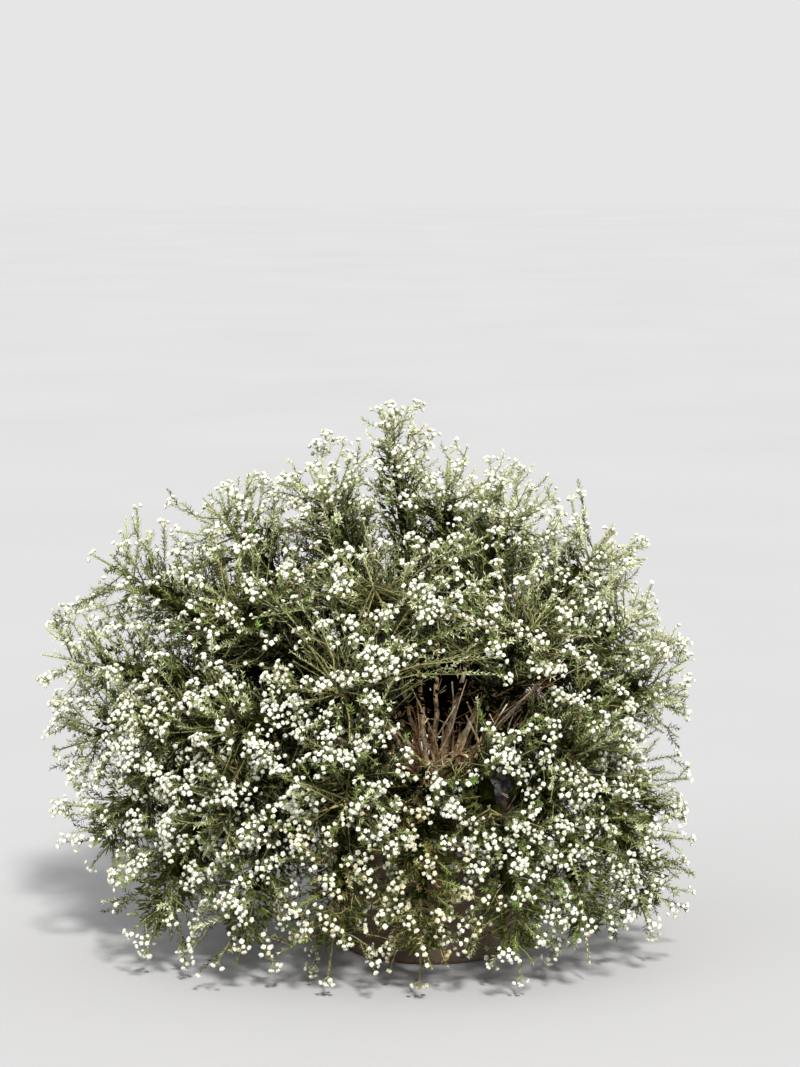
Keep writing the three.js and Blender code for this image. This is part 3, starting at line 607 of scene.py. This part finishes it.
def put_painted_shade_tangle(bundle, spray, draw):
    """The dark heart of the spray: a ragged core and dark leaves crowded on the middle of the branch,
    coloured as painted shade.
    """
    rings, sides = 9, 7
    u = np.linspace(0.0, 0.78, rings)
    side, other = frames(spray.along(u), STEEP)
    angle = 2 * math.pi * np.arange(sides) / sides + 0.4 * np.arange(rings)[:, None]
    spokes = side[:, None] * np.cos(angle)[..., None] + other[:, None] * np.sin(angle)[..., None]
    radius = 0.32 * CORE_RADIUS * spray.width * core_share(u)[:, None]
    radius = radius * draw.uniform(0.5, 1.2, (rings, sides))
    points = spray.at(u)[:, None] + spokes * radius[..., None]
    points = clear_of_pot(clear_of_hollow(points.reshape(1, -1, 3), 6.0))
    # The core takes the darkest keys: painted shade
    paint = np.stack([draw.uniform(0.02, 0.10, rings * sides), draw.uniform(0.05, 0.95, rings * sides)], 1)
    bundle.add(points, rod_faces(rings, sides), paint[None], 3)
    # Dark leaves behind the stems of the back sprays: painted shade
    behind = BACK_SHADE_LEAVES if spray.tip[1] > 15 else 0
    skirt = spray.tip[2] < SKIRT_TIP
    count = round(INNER_SHADE_LEAVES * (0.4 + 0.6 * spray.width) * (1.9 if skirt else 1)) + behind
    inner = draw.uniform(0.0, 1.0 if skirt else 0.85, count)
    u = np.where(np.arange(count) < behind, draw.uniform(-0.62, 0.1, count), inner)
    along = spray.along(u)
    out = unit(draw.normal(size=(count, 3)))
    out = unit(out - (out * along).sum(1, keepdims=True) * along)
    wide = CORE_RADIUS * spray.width * np.where(u < 0.1, 0.8, core_share(np.maximum(u, 0)))
    feet = clear_of_pot(clear_of_hollow(spray.at(u) + out * (wide * np.sqrt(draw.random(count)))[:, None]))
    heading = unit(out + 0.6 * along + 0.5 * draw.normal(size=(count, 3)))
    deep = np.where(u < 0.1, 1.6, 1)
    length, width = draw.uniform(*INNER_LENGTH, count) * deep, draw.uniform(*INNER_WIDTH, count) * deep
    # Painted shade: the deeper the leaf lies in the crown, the darker it is
    key = 0.02 + 0.10 * np.clip(2.2 * (depth_in_crown(feet) - 0.45) + draw.uniform(-0.2, 0.3, count), 0, 1)
    face, kept = unit(draw.normal(size=(count, 3))), ~before_rock(feet)
    add_leaves(bundle, feet[kept], heading[kept], face[kept], length[kept], width[kept], key[kept], 3)


def make_spray(spray):
    """The whole spray as one piece: its tangle, shoots, twigs, leaves and heads."""
    draw = seeded(4000 + spray.number)
    shoots = grow_shoots(spray, draw)
    shoots[1:, 1:] = lean_over_hollow(shoots[1:, 1:])
    shoots = np.concatenate([shoots, *reach_over_gaps(spray, draw)])
    shoots = shoots[~hides_rock(shoots) | (np.arange(len(shoots)) == 0)]
    twigs = grow_twigs(shoots[1:], draw)
    twigs = twigs[~hides_rock(twigs)]
    curves = np.concatenate([shoots, twigs])
    uneven = seeded(8000 + spray.number).uniform(0, ROOM_SPREAD, (len(curves) - 1, 2, 1))
    room = BOX_ROOM + FRONT_AND_BACK * uneven
    curves[1:, 1:] = inside_box(clear_of_pot(clear_of_hollow(curves[1:, 1:])), room)
    is_twig = np.arange(len(curves)) >= len(shoots)
    leafy = np.where(is_twig, TWIG_BARE, SHOOT_BARE)
    thick = np.where(is_twig, TWIG_GIRTH, SHOOT_GIRTH)
    thick[0] = BRANCH_GIRTH
    bundle = Bundle()
    put_painted_shade_tangle(bundle, spray, draw)
    lines = traced(curves, np.linspace(0, 1, 3))
    tone = np.where(is_twig, 0.2, 0.5) + draw.uniform(-0.2, 0.2, len(curves))
    add_rods(bundle, lines, thick[:, None] * np.array([[1, 0.75, 0.4]]), key_in(TWIG_KEYS, tone), 1)
    put_leaves(bundle, spray, curves, leafy, draw)
    put_heads(bundle, spray, curves, len(shoots), draw)
    piece = bundle.make(f"flowering_{spray.name}", SPRAY_FINISHES)
    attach(piece, "root")
    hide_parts(spray.name)


# Finishes
def sockets(group, inputs, outputs):
    """The nodes inside a group that hold its inputs and outputs."""
    for name, kind, value in inputs:
        socket = group.interface.new_socket(name, in_out="INPUT", socket_type=kind)
        socket.default_value = value
    for name, kind in outputs:
        group.interface.new_socket(name, in_out="OUTPUT", socket_type=kind)
    return group.nodes.new("NodeGroupInput"), group.nodes.new("NodeGroupOutput")


def add_node(tree, kind, values=None, **settings):
    """A node with its settings, its unlinked values and its links from other nodes' outputs."""
    node = tree.nodes.new(kind)
    for name, value in settings.items():
        setattr(node, name, value)
    for name, value in (values or {}).items():
        if isinstance(value, bpy.types.NodeSocket):
            tree.links.new(value, node.inputs[name])
        else:
            node.inputs[name].default_value = value
    return node


def colour(r, g, b):
    """A colour given as it looks on a screen, 0 to 255, made linear."""
    return tuple((c / 255) ** 2.2 for c in (r, g, b)) + (1.0,)


def ramp(tree, factor, stops):
    """Colours along a factor; each stop is its place, then red, green and blue."""
    node = add_node(tree, "ShaderNodeValToRGB", {"Fac": factor})
    marks = node.color_ramp.elements
    while len(marks) < len(stops):
        marks.new(0.5)
    for mark, (position, *tone) in zip(marks, stops):
        mark.position, mark.color = position, colour(*tone)
    return node.outputs["Color"]


def times(tree, a, b):
    return add_node(tree, "ShaderNodeVectorMath", {0: a, 1: b}, operation="MULTIPLY").outputs[0]


# How finely flecks are drawn round a piece and along it
FINE_FLECKS, COARSE_FLECKS = (900.0, 9.0, 1.0), (260.0, 5.0, 1.0)


def paint_place():
    """Where a face lies on the paint map: Key picks the colour, Length runs from foot to tip."""
    group = bpy.data.node_groups.new("paint place", "ShaderNodeTree")
    inputs = [("Fineness", "NodeSocketVector", FINE_FLECKS)]
    outputs = [("Key", "NodeSocketFloat"), ("Length", "NodeSocketFloat"), ("Fleck", "NodeSocketFloat")]
    given, out = sockets(group, inputs, outputs)
    spot = add_node(group, "ShaderNodeUVMap", uv_map=PAINT_MAP).outputs[0]
    parts = add_node(group, "ShaderNodeSeparateXYZ", {0: spot})
    group.links.new(parts.outputs[0], out.inputs["Key"])
    group.links.new(parts.outputs[1], out.inputs["Length"])
    stretched = times(group, spot, given.outputs["Fineness"])
    fleck = add_node(group, "ShaderNodeTexNoise", {"Vector": stretched, "Scale": 1.0, "Detail": 2.0})
    group.links.new(fleck.outputs[0], out.inputs["Fleck"])
    return group


def earthy():
    """Blotches and grain for clay, soil, stone and bark: a mask of each and a bumpy normal."""
    group = bpy.data.node_groups.new("earthy grain", "ShaderNodeTree")
    inputs = [
        ("Blotch Scale", "NodeSocketFloat", 12.0), ("Grain Scale", "NodeSocketFloat", 400.0),
        ("Stretch", "NodeSocketVector", (1.0, 1.0, 1.0)), ("Depth", "NodeSocketFloat", 0.001),
    ]
    outputs = [("Blotch", "NodeSocketFloat"), ("Grain", "NodeSocketFloat"), ("Normal", "NodeSocketVector")]
    given, out = sockets(group, inputs, outputs)
    spot = add_node(group, "ShaderNodeTexCoord").outputs["Object"]
    drawn = times(group, spot, given.outputs["Stretch"])
    blotch = add_node(group, "ShaderNodeTexNoise", {
        "Vector": drawn, "Scale": given.outputs["Blotch Scale"], "Detail": 5.0})
    grain = add_node(group, "ShaderNodeTexNoise", {
        "Vector": drawn, "Scale": given.outputs["Grain Scale"], "Detail": 6.0, "Roughness": 0.65})
    bump = add_node(group, "ShaderNodeBump", {
        "Height": grain.outputs[0], "Distance": given.outputs["Depth"], "Strength": 0.8})
    group.links.new(blotch.outputs[0], out.inputs["Blotch"])
    group.links.new(grain.outputs[0], out.inputs["Grain"])
    group.links.new(bump.outputs[0], out.inputs["Normal"])
    return group


def finish(name, roughness, specular):
    """A new material, its node tree and its shader."""
    material = bpy.data.materials.new(name)
    material.use_nodes = True
    shader = material.node_tree.nodes["Principled BSDF"]
    shader.inputs["Roughness"].default_value = roughness
    shader.inputs["Specular IOR Level"].default_value = specular
    return material, material.node_tree, shader


PAINT_PLACE, EARTHY = paint_place(), earthy()


def use_group(tree, group, **values):
    """A group placed in a material with its own values."""
    node = add_node(tree, "ShaderNodeGroup", node_tree=group)
    for name, value in values.items():
        node.inputs[name.replace("_", " ")].default_value = value
    return node


def tinted(tree, share, tone, factor, stops):
    """A tone multiplied, by the given share, by the colours along a factor."""
    parts = {0: share, 6: tone, 7: ramp(tree, factor, stops)}
    return add_node(tree, "ShaderNodeMix", parts, data_type="RGBA", blend_type="MULTIPLY").outputs[2]


WHITE = (255, 255, 255)


def growing(
        name, roughness, specular, tones, flecks, fleck_share,
        along=(), along_share=0, fineness=FINE_FLECKS):
    """Leaf, twig and head: a tone picked on the paint map, tinted from foot to tip and flecked."""
    material, tree, shader = finish(name, roughness, specular)
    spot = use_group(tree, PAINT_PLACE, Fineness=fineness)
    tone = ramp(tree, spot.outputs["Key"], tones)
    if along:
        tone = tinted(tree, along_share, tone, spot.outputs["Length"], along)
    tone = tinted(tree, fleck_share, tone, spot.outputs["Fleck"], flecks)
    tree.links.new(tone, shader.inputs["Base Color"])
    return material


def earthen(name, tones, grain_tone, roughness=0.9, **grain):
    """Clay, soil, stone, bark and litter: blotches of colour under a fine darker grain."""
    material, tree, shader = finish(name, roughness, 0.25)
    rough = use_group(tree, EARTHY, **grain)
    tone = ramp(tree, rough.outputs["Blotch"], tones)
    tone = tinted(tree, 0.85, tone, rough.outputs["Grain"], [(0.35, *grain_tone), (0.6, *WHITE)])
    tree.links.new(tone, shader.inputs["Base Color"])
    tree.links.new(rough.outputs["Normal"], shader.inputs["Normal"])
    return material


# Along the paint map a leaf runs from dark to pale, its own tone with painted shade and painted light, then
# fresh green, then dry brown
LEAF = growing(
    "phylica leaf", 0.48, 0.45,
    [(0.02, 20, 24, 9), (0.12, 43, 51, 17), (0.24, 87, 97, 45), (0.35, 144, 153, 98),
     (0.465, 214, 220, 180), (0.475, 108, 140, 58), (0.515, 150, 176, 98),
     (0.53, 98, 66, 38), (0.60, 150, 112, 70)],
    [(0.3, 205, 205, 195), (0.7, *WHITE)], 0.8,
    along=[(0.0, 190, 190, 150), (0.3, *WHITE), (0.85, *WHITE), (1.0, 180, 160, 120)], along_share=0.6)
GREEN_TWIG = growing(
    "green twig", 0.65, 0.3,
    [(0.63, 142, 154, 92), (0.69, 160, 156, 104), (0.77, 118, 100, 70)],
    [(0.3, 150, 140, 120), (0.65, *WHITE)], 0.7)
# The grey flecks on the heads are painted shade between the florets
FLOWER_HEAD = growing(
    "white flower head", 0.85, 0.2,
    [(0.82, 224, 224, 213), (0.88, 210, 209, 188), (0.97, 174, 152, 112)],
    [(0.38, 136, 140, 104), (0.5, *WHITE)], 0.8,
    along=[(0.04, 110, 114, 72), (0.24, 196, 198, 164), (0.40, *WHITE), (0.80, *WHITE),
           (0.93, 200, 186, 150)],
    along_share=1.0, fineness=COARSE_FLECKS)
# Leaves of the dark heart: painted shade, darkest deepest in the crown
PAINTED_SHADE_LEAF = growing(
    "leaf painted dark as shade", 0.95, 0.0,
    [(0.02, 20, 22, 11), (0.07, 46, 50, 24), (0.12, 84, 90, 50)],
    [(0.3, 120, 120, 90), (0.7, *WHITE)], 0.9)
SPRAY_FINISHES = [LEAF, GREEN_TWIG, FLOWER_HEAD, PAINTED_SHADE_LEAF]

CLAY = earthen(
    "unglazed clay", [(0.35, 82, 68, 58), (0.5, 98, 82, 70), (0.68, 128, 112, 98)],
    (190, 180, 170), 0.82, Blotch_Scale=9.0, Grain_Scale=700.0, Depth=0.0006)
EARTH = earthen(
    "potting soil", [(0.35, 34, 27, 21), (0.6, 62, 48, 36)],
    (120, 110, 100), 0.95, Blotch_Scale=90.0, Grain_Scale=900.0, Depth=0.002)
ROCK = earthen(
    "grey rock", [(0.3, 52, 54, 58), (0.5, 92, 94, 98), (0.7, 150, 148, 144)],
    (120, 120, 124), 0.92, Blotch_Scale=38.0, Grain_Scale=500.0, Depth=0.003)
BARK = earthen(
    "tan bark", [(0.36, 138, 108, 78), (0.46, 204, 176, 132), (0.54, 232, 212, 172), (0.64, 246, 236, 208)],
    (164, 142, 120), 0.9, Blotch_Scale=42.0, Grain_Scale=600.0, Stretch=(1.0, 1.0, 0.25), Depth=0.0012)
LITTER = earthen(
    "dead leaf", [(0.35, 66, 40, 28), (0.5, 110, 74, 52), (0.65, 160, 128, 96)],
    (190, 170, 150), 0.85, Blotch_Scale=220.0, Grain_Scale=900.0, Depth=0.0004)
PLASTIC = earthen(
    "black plastic mesh", [(0.4, 34, 38, 40), (0.6, 44, 48, 50)],
    (220, 220, 220), 0.55, Blotch_Scale=40.0, Grain_Scale=900.0, Depth=0.0002)


# Pot, soil and stones
def ringed(across, angle, z):
    """Points at a distance from the pot's axis, at an angle round it and at a height."""
    return np.stack(np.broadcast_arrays(across * np.cos(angle), across * np.sin(angle), z), -1)


def smooth_lathe(profile, sides, name, material, ease=2.2):
    """A turned solid whose corners are eased; the profile starts and ends on the axis."""
    rows = [np.array(profile[0], float)]
    for before, corner, after in zip(profile, profile[1:], profile[2:]):
        before, corner, after = (np.array(p, float) for p in (before, corner, after))
        cut = min(ease, 0.4 * np.linalg.norm(corner - before), 0.4 * np.linalg.norm(after - corner))
        start, end = corner + unit(before - corner) * cut, corner + unit(after - corner) * cut
        rows += [(1 - t) ** 2 * start + 2 * t * (1 - t) * corner + t**2 * end for t in (0, 0.33, 0.67, 1)]
    rows = np.array(rows + [np.array(profile[-1], float)])
    angle = 2 * math.pi * np.arange(sides) / sides
    inner = rows[1:-1]
    points = ringed(inner[:, :1], angle, inner[:, 1:]).reshape(-1, 3)
    faces = rod_faces(len(inner), sides)[: 2 * sides * (len(inner) - 1)]
    count = len(points)
    points = np.concatenate([points, [[0, 0, rows[0][1]], [0, 0, rows[-1][1]]]])
    top = (len(inner) - 1) * sides
    caps = []
    for k in range(sides):
        n = (k + 1) % sides
        caps += [(k, count, n), (top + k, top + n, count + 1)]
    faces = np.concatenate([faces, np.array(caps)])
    bundle = Bundle()
    bundle.add(points[None], faces, smooth=True)
    return bundle.make(name, [material], paint_map=False)


def inside_radius(z):
    """How wide the pot is inside at a height."""
    foot = POT_FOOT + (POT_BODY - POT_FOOT) * POT_FLOOR / LIP_FOOT - POT_WALL
    share = min(1, (z - POT_FLOOR) / (LIP_FOOT - POT_FLOOR))
    return foot + (POT_BODY + 2 - POT_WALL - foot) * share


def make_pot():
    """The turned clay pot with its drain holes drilled."""
    profile = [
        (0, 0), (POT_FOOT - POT_CHAMFER, 0), (POT_FOOT, POT_CHAMFER), (POT_BODY, LIP_FOOT - POT_CHAMFER),
        (POT_RIM, LIP_FOOT), (POT_RIM + 1, POT_HEIGHT - POT_CHAMFER), (POT_RIM - POT_CHAMFER, POT_HEIGHT),
        (inside_radius(LIP_FOOT) + 1, POT_HEIGHT), (inside_radius(LIP_FOOT), LIP_FOOT),
        (inside_radius(POT_FLOOR), POT_FLOOR), (0, POT_FLOOR),
    ]
    pot = smooth_lathe(profile, 96, "clay_pot", CLAY)
    for k in range(DRAIN_HOLES):
        angle = math.pi / 2 + 2 * math.pi * k / DRAIN_HOLES
        bpy.ops.mesh.primitive_cylinder_add(
            vertices=32, radius=DRAIN_RADIUS * MM, depth=3 * POT_FLOOR * MM,
            location=ringed(DRAIN_REACH, angle, POT_FLOOR / 2) * MM)
        drill = bpy.context.object
        cut = pot.modifiers.new("drain", "BOOLEAN")
        cut.object, cut.operation, cut.solver = drill, "DIFFERENCE", "EXACT"
        bpy.context.view_layer.objects.active = pot
        bpy.ops.object.modifier_apply(modifier=cut.name)
        bpy.data.objects.remove(drill)
    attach(pot, "root")
    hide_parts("pot")


def mound(across):
    """How far the soil stands over its level, at a distance from the stool's middle."""
    return SOIL_MOUND * np.clip((STOOL_RADIUS + 18 - across) / 16, 0, 1)


def make_soil():
    """Soil with a mound round the stool, rough on top and strewn with crumbs."""
    draw = seeded(21)
    low = POT_FLOOR + 2 + SCREEN_THICKNESS
    sides, rings = 72, 22
    edge = inside_radius(SOIL_LEVEL) - 0.8
    across = np.linspace(STOOL_RADIUS * 0.7, edge, rings)
    angle = 2 * math.pi * np.arange(sides) / sides
    top = ringed(across[:, None], angle, SOIL_LEVEL + mound(across)[:, None]).reshape(-1, 3)
    rough = np.array([noise.noise(Vector(p) / 7) + 0.6 * noise.noise(Vector(p) / 2.6) for p in top])
    top[:, 2] += 1.7 * rough
    top = top.reshape(rings, sides, 3)
    base = ringed(inside_radius(low) - 0.8, angle, low)
    rows = np.concatenate([base[None], top[::-1]])
    bundle = Bundle()
    bundle.add(rows.reshape(1, -1, 3), rod_faces(len(rows), sides))
    across = np.sqrt(draw.uniform((STOOL_RADIUS + 2) ** 2, (edge - 4) ** 2, CRUMBS))
    centres = ringed(across, draw.uniform(0, 2 * math.pi, CRUMBS), SOIL_LEVEL + 1 + mound(across))
    size = draw.uniform(0.8, 2.3, (CRUMBS, 1, 1))
    rough = draw.uniform(0.75, 1.2, (CRUMBS, len(HEAD_POINTS), 1))
    points = centres[:, None] + HEAD_POINTS[None] * size * rough
    bundle.add(points, HEAD_FACES)
    piece = bundle.make("soil_surface", [EARTH], paint_map=False)
    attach(piece, "root")
    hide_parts("soil")


def stone_bumps(points, seed):
    """Broad bumps that differ from stone to stone, with finer ones on them."""
    shift, spots = Vector((seed * 7.3, 0, 0)), [Vector(p) for p in points]
    return np.array([noise.noise(p * 2.4 + shift) + 0.4 * noise.noise(p * 7) for p in spots])


def make_stone(name, centre, size, seed):
    """A rough rock with broken faces, level where it lies on the soil."""
    bpy.ops.mesh.primitive_ico_sphere_add(subdivisions=5, radius=1.0)
    stone = bpy.context.object
    stone.name = f"rough_{name}"
    co = np.zeros(3 * len(stone.data.vertices), np.float32)
    stone.data.vertices.foreach_get("co", co)
    co = co.reshape(-1, 3).astype(float)
    draw = seeded(seed)
    for _ in range(ROCK_CHIPS):
        face = unit(draw.normal(size=3))
        over = np.maximum(co @ face - draw.uniform(0.72, 0.9), 0)
        co -= over[:, None] * face * 0.9
    co = co * (1 + 0.09 * stone_bumps(co, seed))[:, None] * 1.04 * np.array(size) + np.array(centre)
    co[:, 2] = np.maximum(co[:, 2], SOIL_LEVEL + 0.3)
    stone.data.vertices.foreach_set("co", (co * MM).astype(np.float32).ravel())
    stone.data.materials.append(ROCK)
    stone.data.update()
    for face in stone.data.polygons:
        face.use_smooth = True
    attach(stone, "root")
    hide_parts(name)


# Woody stems
def wobbled(lines, amount, seed):
    """Lines bent a little to and fro, with both ends kept."""
    draw = seeded(seed)
    count, rings = lines.shape[:2]
    swell = np.sin(math.pi * np.linspace(0, 1, rings))[None, :, None]
    return lines + draw.normal(0, amount, (count, rings, 3)) * swell


def make_stems(sprays):
    """The bare stems, their stool, the dead twigs and the litter as one piece."""
    draw = seeded(31)
    bundle = Bundle()
    curves, rings = np.array([s.curve for s in sprays]), 11
    steps = np.linspace(-0.03, STEM_SHARE + 0.01, rings)
    lines = wobbled(traced(curves, steps), 0.9, 32)
    girth = draw.uniform(0.6, 0.95, (len(curves), 1)) * draw.uniform(0.94, 1.08, (len(curves), rings))
    radii = np.linspace(STEM_RADIUS, STEM_END_RADIUS, rings)[None] * girth
    add_rods(bundle, lines, radii, np.zeros(len(curves)), 0, sides=6)
    put_stool(bundle)
    put_bare_twigs(bundle, curves, draw)
    put_litter(bundle, draw)
    piece = bundle.make("branching_stems", [BARK, LITTER], paint_map=False)
    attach(piece, "root")
    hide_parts("woody_stems")


def put_stool(bundle):
    """The knotty foot that all stems rise from."""
    rings, sides = 26, 32
    z = np.linspace(SOIL_LEVEL - STOOL_DEPTH, SOIL_LEVEL + STOOL_HEIGHT, rings)
    rise = (z - z[0]) / (z[-1] - z[0])
    levels = [z[0], SOIL_LEVEL - 12, SOIL_LEVEL + 8, SOIL_LEVEL + 24, z[-1]]
    across = np.interp(z, levels, [8, 24, 25, 21, 5])
    angle = 2 * math.pi * np.arange(sides) / sides
    points = np.stack(np.broadcast_arrays(np.cos(angle)[None], np.sin(angle)[None], rise[:, None]), -1)
    lumps = np.array([[noise.noise(Vector((*(2.2 * p[:2]), 5 * p[2]))) for p in row] for row in points])
    points = points * np.array([1, 1, 0]) * (across[:, None] * (0.97 + 0.16 * lumps))[..., None]
    points[..., 2] = z[:, None]
    bundle.add(points.reshape(1, -1, 3), rod_faces(rings, sides), smooth=True)


def put_bare_twigs(bundle, curves, draw):
    """Thin bare wood: a fan and a lattice of dead twigs in the open hollow, and side twigs on the stems."""
    fan, side_twigs = hollow_fan(draw), stem_twigs(curves, draw)
    lattice, rings = dead_lattice(draw), 6
    put_dead_leaves(bundle, lattice, draw)
    for group, thick in [(fan, (1.1, 2.3)), (side_twigs, (0.4, 0.9)), (lattice, (0.5, 0.9))]:
        radii = draw.uniform(*thick, len(group))[:, None] * np.linspace(1, 0.45, rings)[None]
        lines = wobbled(traced(group, np.linspace(0, 1, rings)), 0.8, 33)
        add_rods(bundle, lines, radii, np.zeros(len(group)), 0)


def hollow_fan(draw):
    """Bare stems that fan up and forward in the hollow."""
    count = FAN_STEMS
    sideways, forward = draw.normal(4, 20, count), draw.uniform(-40, -12, count)
    foot = np.stack([sideways, forward, draw.uniform(4, 22, count)], 1) + SOIL_LEVEL * UP
    lean, rise = draw.normal(0, 0.45, count) + foot[:, 0] / 70, draw.uniform(62, 122, count)
    end = foot + np.stack([rise * np.clip(lean, -0.9, 0.9), draw.uniform(-66, -10, count), rise], 1)
    bend = (foot + end) / 2 + draw.normal(0, 9, (count, 3)) + UP * 6
    return np.stack([foot, bend, end], 1)


def stem_twigs(curves, draw):
    """Short bare twigs all along the stems."""
    row = draw.integers(0, len(curves), SIDE_TWIGS)
    t = draw.uniform(0.1, STEM_SHARE, SIDE_TWIGS)
    start, along = on_curve(curves[row], t), along_curve(curves[row], t)
    out = unit(draw.normal(size=(SIDE_TWIGS, 3)) + 0.5 * UP)
    length = draw.uniform(14, 46, SIDE_TWIGS)[:, None]
    bend = start + (0.7 * along + 0.3 * out) * length * 0.5
    return clear_of_pot(np.stack([start, bend, start + unit(along + out) * length], 1))


def dead_lattice(draw):
    """Dead twigs that cross each other over the right-hand side of the hollow."""
    starts, reaches = [(14, 64), (-60, 0), (195, 250)], [(30, 105), (-70, 0), (5, 70)]
    start = np.stack([draw.uniform(*span, LATTICE_TWIGS) for span in starts], 1)
    reach = np.stack([draw.uniform(*span, LATTICE_TWIGS) for span in reaches], 1)
    bend = start + reach * 0.5 + draw.normal(0, 7, (LATTICE_TWIGS, 3))
    return np.stack([start, bend, start + reach], 1)


def put_dead_leaves(bundle, twigs, draw):
    """Dry leaves that still hang on the dead twigs."""
    row = draw.integers(0, len(twigs), DEAD_LEAVES)
    t = draw.random(len(row))
    feet, along = on_curve(twigs[row], t), along_curve(twigs[row], t)
    heading = unit(along + 0.9 * draw.normal(size=feet.shape))
    size = draw.uniform(5, 10, len(row))
    face = unit(draw.normal(size=feet.shape))
    add_leaves(bundle, feet, heading, face, size, size * 0.22, np.zeros(len(row)), 1)


def put_litter(bundle, draw):
    """Dead leaves that fell among the stems and on the soil."""
    count = LITTER_LEAVES
    across, angle = np.sqrt(draw.uniform(20**2, 100**2, count)), draw.uniform(0, 2 * math.pi, count)
    fallen = ringed(across, angle, SOIL_LEVEL + 2 + draw.random(count) * 5)
    caught, t = draw.random(count) < 0.3, draw.random(count)
    held = [draw.normal(-14, 40, count), -60 * t, SOIL_LEVEL + 14 + 90 * t * draw.random(count)]
    feet = np.where(caught[:, None], np.stack(held, 1), fallen)
    heading = unit(draw.normal(size=(count, 3)) * np.array([1, 1, 0.5]))
    face = unit(draw.normal(size=(count, 3)) + UP)
    length, width = draw.uniform(6, 13, count), draw.uniform(1.0, 2.0, count)
    add_leaves(bundle, feet, heading, face, length, width, np.zeros(count), 1)


# Floor, lights and camera
def make_studio():
    """A wide pale floor under an even sky and two soft suns."""
    material, tree, shader = finish("pale floor", 0.9, 0.1)
    spot = add_node(tree, "ShaderNodeTexCoord").outputs["Object"]
    soft = add_node(tree, "ShaderNodeTexNoise", {"Vector": spot, "Scale": 1.5})
    tone = ramp(tree, soft.outputs[0], [(0.3, 163, 163, 164), (0.7, 166, 166, 167)])
    tree.links.new(tone, shader.inputs["Base Color"])
    bpy.ops.mesh.primitive_plane_add(size=40)
    floor = bpy.context.object
    floor.name = "floor"
    floor.data.materials.append(material)
    world = bpy.data.worlds.new("studio")
    bpy.context.scene.world = world
    world.use_nodes = True
    sky = world.node_tree.nodes["Background"].inputs
    sky["Color"].default_value, sky["Strength"].default_value = SKY_TINT, SKY_STRENGTH
    for sun in SUNS:
        add_sun(*sun)


def add_sun(name, from_side, size, power, tint):
    lamp = bpy.data.lights.new(name, "SUN")
    lamp.angle, lamp.energy, lamp.color = math.radians(size), power, tint
    light = bpy.data.objects.new(name, lamp)
    light.rotation_euler = (-Vector(from_side)).to_track_quat("-Z", "Y").to_euler()
    bpy.context.scene.collection.objects.link(light)


def make_camera():
    """In front of the plant, looking a little down at it."""
    pitch = math.radians(CAMERA_PITCH)
    camera = bpy.data.objects.new("camera", bpy.data.cameras.new("camera"))
    camera.data.lens, camera.data.sensor_width = LENS, SENSOR
    camera.location = Vector(CAMERA_AIM) + Vector((0, -math.cos(pitch), math.sin(pitch))) * CAMERA_AWAY
    camera.rotation_euler = (math.pi / 2 - pitch, 0, 0)
    bpy.context.scene.collection.objects.link(camera)
    bpy.context.scene.camera = camera


bpy.context.scene.view_settings.view_transform = "Standard"
make_camera()
make_studio()

sprays = [Spray(i, tip, width) for i, (tip, width) in enumerate(crown_tips())]
for spray in sprays:
    make_spray(spray)
make_stems(sprays)
make_pot()
make_soil()
for stone in STONES:
    make_stone(*stone)
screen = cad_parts["drain_screen"]
screen.data.materials.clear()
screen.data.materials.append(PLASTIC)
